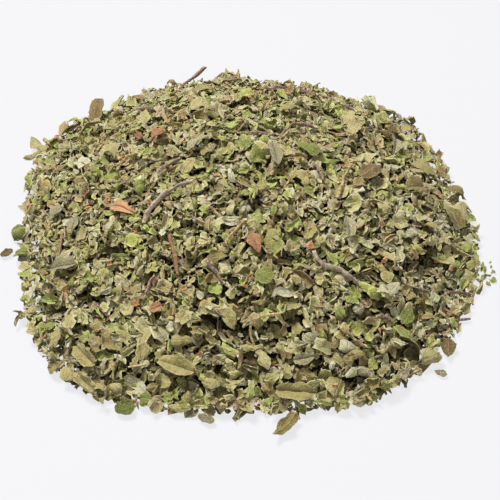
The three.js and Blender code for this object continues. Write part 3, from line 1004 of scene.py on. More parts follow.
@dataclass(frozen=True)
class InnerMass:
    """The finish of the mass deep between the flakes: dark brown, painted shade for the deep gaps."""

    name: str = "inner_mass"
    lump_size: float = 1.6
    lump_depth: float = 1.0
    tones: tuple[tuple[float, Colour], ...] = ((0.3, linear(34, 28, 6)), (0.7, linear(74, 63, 20)))

    def make(self) -> bpy.types.Material:
        """Builds the material.

        Returns:
            The material.
        """
        shade = Shade(self.name)
        lumps = shade.noise(self.lump_size)
        colour = shade.ramp(lumps, self.tones)
        return shade.dress(colour, 0.85 + 0.1 * lumps, shade.bump(lumps, self.lump_depth), 0.0)


FINISHES: dict[Finish, DriedLeaf | DriedStem] = {
    Finish.GREY_GREEN: DriedLeaf(
        "grey_green_leaf",
        ((0.0, linear(126, 112, 64)), (0.3, linear(155, 143, 94)), (0.65, linear(177, 167, 120)),
         (1.0, linear(190, 182, 146))),
        yellowed=linear(160, 162, 90), browned=linear(152, 130, 94), rim=linear(212, 205, 172),
        down=linear(196, 190, 160),
    ),
    Finish.SAGE: DriedLeaf(
        "sage_leaf",
        ((0.0, linear(140, 132, 100)), (0.4, linear(170, 163, 132)), (1.0, linear(192, 187, 162))),
        yellowed=linear(178, 178, 112), browned=linear(170, 147, 116), rim=linear(216, 211, 186),
        down=linear(204, 200, 180),
    ),
    Finish.FRESH_GREEN: DriedLeaf(
        "fresh_green_leaf",
        ((0.0, linear(103, 108, 54)), (0.4, linear(139, 145, 77)), (1.0, linear(168, 175, 108))),
        yellowed=linear(166, 170, 86), browned=linear(152, 136, 84), rim=linear(206, 203, 146),
        down=linear(186, 188, 144),
    ),
    Finish.OLIVE_BROWN: DriedLeaf(
        "olive_brown_leaf",
        ((0.0, linear(108, 90, 58)), (0.5, linear(150, 129, 90)), (1.0, linear(180, 159, 120))),
        yellowed=linear(154, 145, 82), browned=linear(138, 106, 74), rim=linear(206, 190, 146),
        down=linear(190, 176, 144),
    ),
    Finish.PURPLE_STEM: DriedStem(
        "purple_stem",
        ((0.0, linear(84, 62, 56)), (0.5, linear(132, 108, 98)), (1.0, linear(164, 142, 130))),
        streak=linear(178, 158, 142), pith=linear(210, 192, 154),
    ),
    Finish.STRAW_STEM: DriedStem(
        "straw_stem",
        ((0.0, linear(120, 96, 64)), (0.5, linear(166, 140, 98)), (1.0, linear(200, 180, 138))),
        streak=linear(208, 190, 150), pith=linear(220, 204, 162),
    ),
    Finish.RUST: DriedLeaf(
        "rust_chip",
        ((0.0, linear(92, 64, 42)), (0.5, linear(144, 104, 74)), (1.0, linear(190, 148, 108))),
        yellowed=linear(184, 104, 54), browned=linear(112, 78, 56), rim=linear(206, 172, 136),
        down=linear(190, 160, 130),
    ),
}


# Pieces


@dataclass
class Batch:
    """Copies of one blank in place, and the tone, hue and age of each."""

    blank: Blank
    points: np.ndarray
    shades: np.ndarray


@dataclass
class PieceMaker:
    """Joins batches of copies into one piece, with the attributes its finish reads."""

    materials: dict[Finish, bpy.types.Material]
    smooth_under: float = 42.0  # the edge angle, in degrees, that is still shaded smooth
    margin: float = 0.03  # round each copy's square on the baking sheet, as a share of the square

    def make(self, name: str, batches: list[Batch], finish: Finish) -> bpy.types.Object:
        """Makes a piece.

        Args:
            name: the piece's name.
            batches: what it is made of.
            finish: what it wears.

        Returns:
            The piece, riding on the heap's body.
        """
        mesh = self._mesh(name, batches)
        piece = bpy.data.objects.new(name, mesh)
        bpy.context.scene.collection.objects.link(piece)
        mesh.materials.append(self.materials[finish])
        bpy.ops.object.select_all(action="DESELECT")
        piece.select_set(True)
        bpy.context.view_layer.objects.active = piece
        bpy.ops.object.shade_smooth_by_angle(angle=math.radians(self.smooth_under))
        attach(piece, "root")
        LOG.info("%s: %d faces", name, len(mesh.polygons))
        return piece

    def _mesh(self, name: str, batches: list[Batch]) -> bpy.types.Mesh:
        """Joins batches into a mesh.

        Args:
            name: the mesh's name.
            batches: what it is made of.

        Returns:
            The mesh, with its baking sheet and the attributes of its points.
        """
        side = math.ceil(math.sqrt(sum(len(batch.points) for batch in batches)))
        points, loops, sizes, uv, blade, shade = [], [], [], [], [], []
        first = done = 0
        for batch in batches:
            blank, copies = batch.blank, len(batch.points)
            count = len(blank.points)
            starts = first + count * np.arange(copies)
            points.append(batch.points.reshape(-1, 3))
            loops.append((starts[:, None] + blank.loops[None]).ravel())
            sizes.append(np.tile(blank.sizes, copies))
            cell = done + np.arange(copies)
            corner = np.stack([cell % side, cell // side], 1)[:, None]
            square = corner + self.margin + (1 - 2 * self.margin) * blank.uv[None]
            uv.append((square / side).reshape(-1, 2))
            place = np.stack([2 * blank.points[:, 0], 2 * blank.points[:, 1], blank.rim], 1)
            blade.append(np.tile(place, (copies, 1)))
            shade.append(np.repeat(batch.shades, count, 0))
            first += count * copies
            done += copies
        mesh = bpy.data.meshes.new(name)
        self._fill(mesh, *(np.concatenate(part) for part in (points, loops, sizes)))
        layer = mesh.uv_layers.new(name="OFBake")
        layer.uv.foreach_set("vector", np.concatenate(uv).astype(np.float32).ravel())
        for label, values in (("blade", blade), ("shade", shade)):
            attribute = mesh.attributes.new(label, "FLOAT_VECTOR", "POINT")
            attribute.data.foreach_set("vector", np.concatenate(values).astype(np.float32).ravel())
        mesh.validate()
        return mesh

    @staticmethod
    def _fill(mesh: bpy.types.Mesh, points: np.ndarray, loops: np.ndarray, sizes: np.ndarray) -> None:
        """Fills an empty mesh.

        Args:
            mesh: the mesh.
            points: its vertices, in millimetres.
            loops: the vertex at each face corner.
            sizes: how many corners each face has.
        """
        mesh.vertices.add(len(points))
        mesh.vertices.foreach_set("co", (points * MM).astype(np.float32).ravel())
        mesh.loops.add(len(loops))
        mesh.loops.foreach_set("vertex_index", loops.astype(np.int32))
        mesh.polygons.add(len(sizes))
        starts = np.concatenate([[0], np.cumsum(sizes)[:-1]]).astype(np.int32)
        mesh.polygons.foreach_set("loop_start", starts)
        mesh.update(calc_edges=True)


# The frame's own leaves, chips and stems, made fine


def node_points(name: str, frame: dict) -> np.ndarray:
    """Reads the corners of a solid of the frame.

    Args:
        name: the solid's node.
        frame: the loaded frame.

    Returns:
        The corners in millimetres, each once.
    """
    return np.unique(np.round(coordinates(frame["nodes"][name].data) / MM, 3), axis=0)


@dataclass
class FramedLeaf:
    """A whole leaf or chip that follows its solid in the frame."""

    node: str
    size: float = 1.0
    tones: tuple[float, float] = (-0.15, 0.3)
    most_hue: float = 0.15
    most_age: float = 0.4
    cup: float = 0.0
    thickness: float = 0.2
    clearance: float = 0.02  # over the floor
    vein: float = 0.14
    ripple: float = 0.5
    sag: float = 0.25
    groove: float = 0.3
    groove_width: float = 0.16
    creases: int = 4
    crease_depth: float = 0.12
    relief_length: float = 8.0  # the length of leaf that the relief's depths are given for

    def build(self, frame: dict, blank: Blank, random: np.random.Generator) -> Batch:
        """Bends a fine blank to the solid's mean surface.

        Args:
            frame: the loaded frame.
            blank: the flat leaf.
            random: the source of its small unevenness.

        Returns:
            The one bent copy, in place.
        """
        corners = node_points(self.node, frame)
        middle, axes = self._axes(corners)
        local = (corners - middle) @ axes.T
        length, width = np.ptp(local[:, 0]) * self.size, np.ptp(local[:, 1]) * self.size
        fit = np.linalg.lstsq(self._basis(local[:, 0], local[:, 1]), local[:, 2], rcond=None)[0]
        x = blank.points[:, 0] * length + (local[:, 0].max() + local[:, 0].min()) / 2
        y = blank.points[:, 1] * width + (local[:, 1].max() + local[:, 1].min()) / 2
        z = self._basis(x, y) @ fit + self._relief(blank, length, random)
        z = z + blank.points[:, 2] / np.ptp(blank.points[:, 2]) * self.thickness
        placed = np.stack([x, y, z], 1) @ axes + middle
        placed[:, 2] += max(0.0, self.clearance - placed[:, 2].min())
        low, high = self.tones
        shade = random.uniform((low, 0.0, 0.0), (high, self.most_hue, self.most_age), (1, 3))
        return Batch(blank, placed[None], shade)

    def _relief(self, blank: Blank, length: float, random: np.random.Generator) -> np.ndarray:
        """Crumples the dried blade: side veins, a sunk midrib, creases and an uneven edge.

        Args:
            blank: the flat leaf.
            length: how long the leaf is.
            random: the source of the crumples.

        Returns:
            How far each point lies over the leaf's mean surface.
        """
        along, across = 2 * blank.points[:, 0], 2 * blank.points[:, 1]
        phase = random.uniform(0, TURN, 3)
        veins = self.vein * np.sin(9 * along - 4 * np.abs(across) + phase[0]) * np.abs(across)
        edge = self.ripple * across * np.abs(across) * np.sin(4.2 * along + phase[1])
        sag = self.sag * np.sin(2.5 * along + phase[2]) * (1 - np.abs(across))
        midrib = -self.groove * np.exp(-((across / self.groove_width) ** 2))
        curl = random.uniform(-0.2, 0.7) * np.abs(across) ** 3
        curl = curl + random.uniform(-0.3, 0.5) * np.abs(along) ** 3
        creases = np.zeros(len(along))
        for _ in range(self.creases):
            heading, start = random.uniform(0, TURN / 2), random.uniform(0, TURN)
            way = 5.5 * (math.cos(heading) * along + math.sin(heading) * across)
            creases += self.crease_depth * np.abs(np.sin(way + start))
        cup = self.cup * (along**2 + across**2)
        return (veins + edge + sag + midrib + curl + creases + cup) * length / self.relief_length

    @staticmethod
    def _basis(x: np.ndarray, y: np.ndarray) -> np.ndarray:
        """The terms of the surface that is fitted to a leaf's solid."""
        return np.stack([np.ones_like(x), x, y, x * x, x * y, y * y, np.abs(y)], 1)

    @staticmethod
    def _axes(corners: np.ndarray) -> tuple[np.ndarray, np.ndarray]:
        """Finds how a leaf's solid lies.

        Args:
            corners: the solid's corners.

        Returns:
            Its middle, and its axes along, across and up through the blade.
        """
        middle = corners.mean(0)
        gaps = np.linalg.norm(corners[:, None] - corners[None], axis=2)
        far, near = np.unravel_index(gaps.argmax(), gaps.shape)
        along = corners[far] - corners[near]
        along = along / np.linalg.norm(along)
        _, _, spread = np.linalg.svd(corners - middle)
        up = spread[2] - (spread[2] @ along) * along
        up = up / np.linalg.norm(up) * np.sign(up[2])
        return middle, np.stack([along, np.cross(up, along), up])


@dataclass
class FramedStem:
    """A bit of stem that follows its solid in the frame."""

    node: str
    greyed: float = 0.3
    sides: int = 6
    wander: float = 0.12
    splinters: float = 0.5
    rod_end: float = 0.49  # how far out along the blank its ends begin
    step: float = 0.04  # the share of the length that its direction is taken over
    girth: float = 0.76
    joint: float = 0.4
    joint_length: float = 0.025

    def build(self, frame: dict, blank: Blank, random: np.random.Generator) -> Batch:
        """Bends a fine rod along the solid's middle line.

        Args:
            frame: the loaded frame.
            blank: the straight rod.
            random: the source of its small unevenness.

        Returns:
            The one bent copy, in place.
        """
        centres, radius = self._line(node_points(self.node, frame))
        share = blank.points[:, 0] + 0.5
        line = centres + random.normal(0, self.wander, (len(centres), 3))
        middle = self._at(line, share)
        tangent = self._at(line, share + self.step) - self._at(line, share - self.step)
        tangent /= np.linalg.norm(tangent, axis=1, keepdims=True)
        side = np.cross(tangent, (0, 0, 1.0))
        side /= np.linalg.norm(side, axis=1, keepdims=True)
        up = np.cross(side, tangent)
        reach = (2 * radius * self._girth(blank, share, random))[:, None]
        placed = middle + reach * (blank.points[:, 1:2] * side + blank.points[:, 2:3] * up)
        ends = np.abs(blank.points[:, 0]) > self.rod_end
        splinter = random.uniform(-0.1, self.splinters, ends.sum()) * np.sign(blank.points[ends, 0])
        placed[ends] += splinter[:, None] * tangent[ends]
        shade = random.uniform((0.1, self.greyed, 0.2), (0.7, self.greyed, 0.8), (1, 3))
        return Batch(blank, placed[None], shade)

    def _girth(self, blank: Blank, share: np.ndarray, random: np.random.Generator) -> np.ndarray:
        """Varies the stem's girth round and along it: ribs, joints, swellings and a taper.

        Args:
            blank: the straight rod.
            share: how far along the stem each point lies.
            random: the source of the joints, swellings and taper.

        Returns:
            The girth at each point, against the solid's.
        """
        angle = np.arctan2(blank.points[:, 2], blank.points[:, 1])
        ribs = 0.13 * np.cos(4 * angle + 3 * share) + 0.07 * np.cos(3 * angle - 5 * share)
        places = random.uniform(0.15, 0.85, 2)
        joints = sum(self.joint * np.exp(-(((share - at) / self.joint_length) ** 2)) for at in places)
        swell = 0.16 * np.sin(7 * share + random.uniform(0, 6))
        swell = swell + 0.1 * np.sin(17 * share + random.uniform(0, 6))
        taper = random.uniform(-0.25, 0.25) * (share - 0.5)
        return self.girth + ribs + joints + swell + taper

    @staticmethod
    def _at(line: np.ndarray, share: np.ndarray) -> np.ndarray:
        """The points of a line at shares of its length."""
        steps = np.linspace(0, 1, len(line))
        return np.stack([np.interp(share, steps, line[:, k]) for k in range(3)], 1)

    def _line(self, corners: np.ndarray) -> tuple[np.ndarray, float]:
        """Finds the line that a stem's solid follows.

        Args:
            corners: the solid's corners.

        Returns:
            The middles of its rings from end to end, and its radius.
        """
        _, _, spread = np.linalg.svd(corners - corners.mean(0))
        order = np.argsort(corners @ spread[0])
        rings = corners[order].reshape(-1, self.sides, 3)
        centres = rings.mean(1)
        return centres, float(np.linalg.norm(rings - centres[:, None], axis=2).mean())


# What stands out in the photograph, beside what the frame holds


class Seen(NamedTuple):
    """Where a bit shows in the photograph of 500 by 500 pixels, which way it points there, and its size.

    The heading is in degrees from rightwards, anticlockwise, and the length in millimetres.
    """

    column: float
    row: float
    heading: float
    length: float


@dataclass(frozen=True)
class SeenSort:
    """Bits of one kind and finish, with the tone, hue and age that they have in common."""

    kind: BlankKind
    finish: Finish
    shade: tuple[float, float, float]
    places: tuple[Seen, ...]


SEEN_LEAVES: tuple[SeenSort, ...] = (
    SeenSort(BlankKind.LEAF, Finish.GREY_GREEN, (0.36, 0.1, 0.35), (
        Seen(205, 86, -8, 7.0), Seen(174, 92, -35, 4.2), Seen(188, 167, 40, 5.6), Seen(306, 100, -30, 5.0),
        Seen(351, 105, -20, 3.6), Seen(390, 115, -20, 5.6), Seen(408, 128, 20, 4.4), Seen(414, 144, -45, 4.0),
        Seen(354, 151, -40, 4.4), Seen(370, 148, -50, 5.0), Seen(302, 164, -30, 4.6), Seen(263, 190, 30, 3.8),
        Seen(310, 230, 75, 5.4), Seen(192, 257, 40, 4.4), Seen(82, 238, 60, 4.8), Seen(88, 262, 60, 3.4),
        Seen(141, 262, 80, 5.2), Seen(104, 281, 80, 3.2), Seen(133, 292, -50, 4.2), Seen(155, 295, -50, 4.2),
        Seen(117, 301, 60, 3.6), Seen(32, 313, -20, 4.2), Seen(21, 321, -60, 3.6), Seen(34, 333, -35, 4.8),
        Seen(57, 346, 75, 5.6), Seen(92, 380, -10, 6.2), Seen(98, 334, 10, 4.8), Seen(115, 367, 70, 5.4),
        Seen(128, 347, 30, 5.2), Seen(143, 346, 85, 6.0), Seen(155, 328, -60, 5.2), Seen(116, 390, -45, 4.4),
        Seen(163, 384, -40, 4.8), Seen(211, 387, -10, 5.0), Seen(227, 387, -35, 5.4),
        Seen(258, 350, -15, 6.2),
        Seen(281, 354, -50, 5.2), Seen(263, 366, -60, 4.4), Seen(275, 413, 0, 4.6), Seen(230, 327, -70, 5.2),
        Seen(183, 345, 0, 4.0), Seen(336, 392, 60, 5.6), Seen(410, 345, 60, 5.4), Seen(386, 354, 60, 6.2),
        Seen(396, 349, -40, 4.2), Seen(432, 231, -30, 5.6), Seen(409, 261, 80, 4.2), Seen(396, 275, -20, 3.8),
        Seen(462, 300, -15, 5.0), Seen(365, 290, -60, 3.6), Seen(290, 312, 20, 5.8), Seen(189, 299, -30, 5.2),
        Seen(283, 84, 30, 3.6), Seen(421, 266, 20, 3.2), Seen(377, 325, -70, 4.0), Seen(338, 365, -40, 4.4),
    )),
    SeenSort(BlankKind.LEAF, Finish.SAGE, (0.45, 0.1, 0.25), (
        Seen(248, 79, 60, 3.4), Seen(392, 148, 80, 5.0), Seen(403, 148, -60, 4.8), Seen(396, 169, -10, 3.6),
        Seen(110, 228, 80, 4.4), Seen(231, 220, 0, 4.2), Seen(243, 211, 60, 3.4), Seen(190, 235, 0, 4.0),
        Seen(268, 251, -20, 3.2), Seen(140, 277, 60, 3.0), Seen(106, 296, 20, 3.8), Seen(73, 304, 25, 5.0),
        Seen(69, 350, 70, 4.4), Seen(68, 335, -30, 4.2), Seen(67, 376, -40, 3.6), Seen(104, 369, 80, 3.8),
        Seen(136, 335, 0, 3.0), Seen(167, 371, -30, 3.4), Seen(136, 387, -30, 5.8), Seen(193, 391, -35, 4.4),
        Seen(251, 405, 50, 3.2), Seen(250, 371, -20, 4.2), Seen(300, 343, 0, 3.0), Seen(318, 366, 80, 3.2),
        Seen(214, 324, -20, 3.4), Seen(195, 344, 0, 3.0), Seen(404, 377, -80, 3.4), Seen(367, 372, -65, 4.6),
        Seen(346, 348, 80, 4.4), Seen(388, 335, 0, 3.2), Seen(422, 360, 60, 5.0), Seen(363, 336, 60, 3.6),
        Seen(387, 248, 0, 3.6), Seen(411, 235, 10, 4.4), Seen(399, 267, 0, 2.6), Seen(404, 283, 20, 3.0),
        Seen(420, 287, -30, 3.4), Seen(385, 290, -50, 3.4), Seen(345, 298, 80, 3.8), Seen(360, 310, 30, 3.0),
        Seen(282, 296, 15, 5.2), Seen(302, 287, 60, 3.2), Seen(220, 167, -20, 3.8), Seen(247, 168, 80, 3.4),
        Seen(50, 290, 20, 4.2), Seen(171, 330, 20, 3.0), Seen(125, 107, 15, 3.6), Seen(136, 113, 20, 3.4),
    )),
    SeenSort(BlankKind.LEAF, Finish.FRESH_GREEN, (0.3, 0.2, 0.3), (
        Seen(270, 127, 20, 5.2), Seen(244, 145, -10, 5.0), Seen(259, 160, -50, 4.6), Seen(244, 173, 30, 3.4),
        Seen(228, 191, 0, 2.8), Seen(195, 208, -30, 4.8), Seen(275, 211, 70, 4.2), Seen(293, 228, 40, 3.8),
        Seen(279, 236, 0, 2.8), Seen(139, 189, 30, 3.8), Seen(52, 149, 30, 3.2), Seen(94, 171, 0, 3.6),
        Seen(40, 205, 70, 3.8), Seen(112, 213, 0, 2.8), Seen(130, 254, 0, 3.4), Seen(101, 250, 80, 2.6),
        Seen(118, 270, 20, 4.6), Seen(90, 288, 0, 3.4), Seen(116, 327, 0, 3.8), Seen(49, 328, 0, 3.2),
        Seen(174, 396, 30, 4.2), Seen(210, 405, 30, 3.2), Seen(216, 294, 0, 3.8), Seen(204, 288, 40, 3.2),
        Seen(228, 276, 0, 2.6), Seen(353, 294, 80, 4.6), Seen(372, 350, -50, 5.0), Seen(396, 381, 30, 3.4),
        Seen(344, 404, -20, 3.4), Seen(434, 326, 30, 3.6), Seen(382, 215, -10, 4.4), Seen(330, 195, -20, 5.0),
        Seen(455, 263, 30, 4.6), Seen(467, 247, -30, 3.6), Seen(476, 248, 30, 3.0), Seen(386, 124, 0, 3.4),
        Seen(426, 155, 80, 3.8), Seen(269, 402, 40, 3.4), Seen(303, 403, 0, 2.6), Seen(345, 127, 10, 3.6),
        Seen(52, 304, 10, 4.2), Seen(322, 335, 60, 4.4), Seen(398, 190, 10, 3.8), Seen(370, 262, -20, 3.4),
    )),
    SeenSort(BlankKind.LEAF, Finish.GREY_GREEN, (0.15, 0.1, 0.6), (
        Seen(203, 102, 0, 6.4), Seen(208, 154, 0, 5.0), Seen(350, 123, -42, 5.6), Seen(440, 175, -20, 3.6),
        Seen(360, 172, 50, 5.2), Seen(92, 224, -20, 3.6), Seen(67, 244, 30, 4.6), Seen(217, 258, 10, 6.0),
        Seen(292, 270, 15, 5.0), Seen(256, 290, -60, 4.4), Seen(262, 305, 10, 6.8), Seen(173, 308, -70, 4.8),
        Seen(95, 347, 80, 4.0), Seen(112, 344, -40, 6.2), Seen(135, 366, 75, 3.8), Seen(99, 394, 30, 4.4),
        Seen(155, 392, 50, 4.8), Seen(189, 401, -80, 4.6), Seen(222, 406, 40, 4.2), Seen(240, 365, 70, 5.6),
        Seen(262, 385, -80, 4.2), Seen(306, 378, 0, 3.8), Seen(211, 340, -60, 4.6), Seen(372, 386, -10, 5.6),
        Seen(384, 391, -40, 4.6), Seen(356, 362, 10, 4.6), Seen(397, 366, 60, 3.8), Seen(391, 302, 0, 4.6),
        Seen(409, 292, -60, 4.4), Seen(438, 272, -60, 3.8), Seen(466, 222, 20, 3.2), Seen(243, 396, -35, 3.8),
        Seen(54, 371, -30, 3.8), Seen(79, 377, -70, 4.4), Seen(361, 402, 30, 3.4), Seen(155, 152, 60, 3.6),
    )),
)
SEEN_BITS: tuple[SeenSort, ...] = (
    SeenSort(BlankKind.LEAF, Finish.GREY_GREEN, (0.3, 0.1, 0.3), (
        Seen(40, 150, -30, 6.2), Seen(32, 158, 20, 5.0), Seen(47, 142, -40, 5.0), Seen(13, 247, -20, 5.4),
        Seen(343, 407, 5, 5.6), Seen(357, 405, 15, 5.6), Seen(372, 401, 30, 5.6), Seen(431, 366, 20, 5.4),
        Seen(180, 413, 0, 5.0), Seen(205, 413, 0, 5.0), Seen(244, 416, -30, 4.2), Seen(88, 393, -40, 5.6),
        Seen(98, 400, -30, 4.2), Seen(466, 204, -40, 4.6), Seen(479, 289, 80, 4.4), Seen(473, 300, 75, 5.0),
        Seen(466, 312, 60, 5.0), Seen(273, 416, 0, 4.0), Seen(54, 373, -35, 5.0), Seen(395, 391, 25, 4.6),
        Seen(71, 381, -40, 4.0), Seen(458, 330, 45, 4.0), Seen(411, 125, -35, 4.4), Seen(475, 237, -60, 3.6),
        Seen(18, 326, 80, 3.4), Seen(50, 360, 80, 3.4),
    )),
    SeenSort(BlankKind.LEAF, Finish.FRESH_GREEN, (0.05, 0.1, 0.2), (
        Seen(19, 240, 40, 4.6), Seen(21, 255, 0, 4.4), Seen(192, 412, -5, 4.2), Seen(438, 362, 40, 4.0),
        Seen(481, 273, 60, 4.2), Seen(146, 403, -10, 3.6), Seen(386, 395, 20, 3.8), Seen(126, 399, -20, 4.0),
    )),
    SeenSort(BlankKind.SHARD, Finish.RUST, (0.6, 1.0, 0.1), (
        Seen(57, 138, 30, 3.2), Seen(139, 136, -45, 4.0), Seen(124, 158, 20, 4.0), Seen(184, 146, 50, 2.8),
        Seen(108, 198, -60, 3.4), Seen(46, 341, 60, 3.4), Seen(342, 168, 30, 2.8), Seen(246, 286, 30, 3.0),
        Seen(153, 302, 50, 3.2), Seen(252, 277, 80, 2.6), Seen(381, 226, 80, 2.6), Seen(190, 139, 30, 2.0),
    )),
    SeenSort(BlankKind.CRUMB, Finish.RUST, (0.5, 0.95, 0.2), (
        Seen(29, 206, 0, 2.0), Seen(89, 208, 0, 2.2), Seen(150, 203, 0, 1.9), Seen(206, 198, 70, 1.7),
        Seen(250, 98, 70, 1.6), Seen(283, 154, -60, 1.9), Seen(308, 177, -60, 1.9), Seen(217, 176, 0, 1.5),
        Seen(384, 160, 20, 1.8), Seen(372, 170, 20, 1.8), Seen(155, 281, 30, 1.7), Seen(136, 304, 20, 2.2),
        Seen(110, 267, 10, 2.0), Seen(246, 292, 0, 1.5), Seen(310, 249, 20, 2.1), Seen(302, 237, 0, 1.2),
        Seen(385, 259, 60, 2.0), Seen(443, 317, 60, 2.4), Seen(450, 275, 60, 2.0), Seen(335, 386, 10, 1.8),
        Seen(379, 333, 70, 1.8), Seen(357, 229, 20, 1.9), Seen(105, 237, -5, 2.0), Seen(70, 233, 0, 1.5),
        Seen(134, 233, 20, 2.1), Seen(293, 249, 0, 1.2), Seen(421, 301, 0, 1.5), Seen(436, 263, 0, 1.8),
        Seen(345, 183, 10, 1.8), Seen(272, 173, 0, 1.2), Seen(255, 328, 0, 1.5), Seen(236, 354, 0, 1.5),
        Seen(427, 338, 30, 1.8), Seen(401, 328, 30, 1.5), Seen(116, 364, 0, 1.4), Seen(366, 311, -30, 1.9),
        Seen(82, 207, 0, 1.6), Seen(192, 334, -30, 1.6), Seen(97, 333, 0, 1.2), Seen(162, 141, 60, 2.2),
    )),
    SeenSort(BlankKind.SHARD, Finish.SAGE, (0.95, 0.5, 0.1), (
        Seen(108, 302, -60, 3.6), Seen(400, 344, -15, 3.8), Seen(96, 212, 75, 2.6), Seen(96, 234, -40, 3.2),
        Seen(222, 172, 0, 3.0), Seen(232, 178, -75, 4.4), Seen(417, 327, 5, 3.6), Seen(297, 259, 0, 2.8),
        Seen(370, 122, -60, 4.0), Seen(408, 134, 40, 3.4), Seen(338, 240, 0, 2.8), Seen(352, 250, -80, 4.8),
    )),
    SeenSort(BlankKind.CRUMB, Finish.SAGE, (1.0, 0.6, 0.0), (
        Seen(238, 164, 0, 0.9), Seen(240, 176, 0, 1.0), Seen(204, 125, 0, 1.2), Seen(453, 336, 0, 1.8),
        Seen(210, 308, 10, 1.6), Seen(215, 115, 0, 0.9), Seen(388, 330, 0, 1.2), Seen(343, 285, 0, 1.3),
        Seen(103, 167, 0, 1.2), Seen(160, 193, 0, 1.8), Seen(137, 178, 40, 2.4), Seen(264, 343, 0, 1.4),
    )),
    SeenSort(BlankKind.TWIG, Finish.PURPLE_STEM, (0.5, 0.5, 0.3), (
        Seen(198, 223, -25, 4.8), Seen(41, 272, -50, 3.4), Seen(317, 319, 72, 4.2), Seen(308, 106, -52, 3.4),
        Seen(229, 121, 43, 5.2), Seen(232, 82, 8, 5.4), Seen(257, 133, -4, 6.4), Seen(212, 244, -50, 4.0),
        Seen(96, 220, 80, 3.4), Seen(195, 163, -20, 3.6), Seen(167, 296, 0, 3.6), Seen(420, 296, -15, 4.4),
        Seen(183, 262, -75, 3.8), Seen(209, 210, 35, 3.2), Seen(382, 240, -60, 3.8),
    )),
    SeenSort(BlankKind.TWIG, Finish.STRAW_STEM, (0.7, 0.5, 0.3), (
        Seen(464, 257, -26, 4.4), Seen(139, 374, 10, 5.0), Seen(130, 162, 40, 4.6), Seen(125, 180, 38, 4.0),
        Seen(209, 225, 85, 3.4), Seen(282, 256, 80, 3.2), Seen(450, 316, -25, 4.6), Seen(60, 170, 25, 4.6),
    )),
)
CRUMBS_BY_THE_FOOT = SeenSort(BlankKind.CRUMB, Finish.FRESH_GREEN, (-0.05, 0.2, 0.2), (
    Seen(490, 263, 20, 1.0), Seen(491, 267, 60, 1.0), Seen(485, 270, 70, 1.8), Seen(493, 273, 30, 1.6),
    Seen(489, 277, 0, 1.7), Seen(481, 280, 35, 2.4), Seen(493, 281, 40, 1.6), Seen(488, 285, 60, 1.5),
    Seen(485, 274, 20, 1.6),
))


@dataclass(frozen=True)
class View:
    """The photograph's view: it turns a place there into a place on the heap, in millimetres."""

    place: np.ndarray
    right: np.ndarray
    up: np.ndarray
    ahead: np.ndarray
    focus: float
    middle: float
    step: float = 0.25

    def spot(self, seen: Seen, ground: HeightField) -> tuple[float, float]:
        """Finds where a line of sight first meets the heap or the floor.

        Args:
            seen: the bit that is looked at.
            ground: the heap so far.

        Returns:
            How far right and how far back that is.
        """
        across, rise = (seen.column - self.middle) / self.focus, (self.middle - seen.row) / self.focus
        way = self.ahead + across * self.right + rise * self.up
        far = np.arange((ground.ceiling - self.place[2]) / way[2], -self.place[2] / way[2], self.step)
        line = self.place + far[:, None] * way
        met = line[:, 2] <= ground.top[ground.cells(line[:, 0], line[:, 1])]
        first = int(met.argmax()) if met.any() else -1
        return float(line[first, 0]), float(line[first, 1])

    def along(self, seen: Seen, normal: np.ndarray) -> np.ndarray:
        """Finds the direction in a plane that shows at a seen heading.

        Args:
            seen: the bit, with its heading.
            normal: the plane's normal.

        Returns:
            The direction, of unit length.
        """
        angle = math.radians(seen.heading)
        way = math.cos(angle) * self.right + math.sin(angle) * self.up
        way = way - self.ahead * (way @ normal) / (self.ahead @ normal)
        return way / np.linalg.norm(way)


# The flakes


@dataclass(frozen=True)
class FlakeSort:
    """A sort of flake: its kind, its share of the heap, and its mean length and the spread of that."""

    kind: BlankKind
    share: float
    length: float
    spread: float


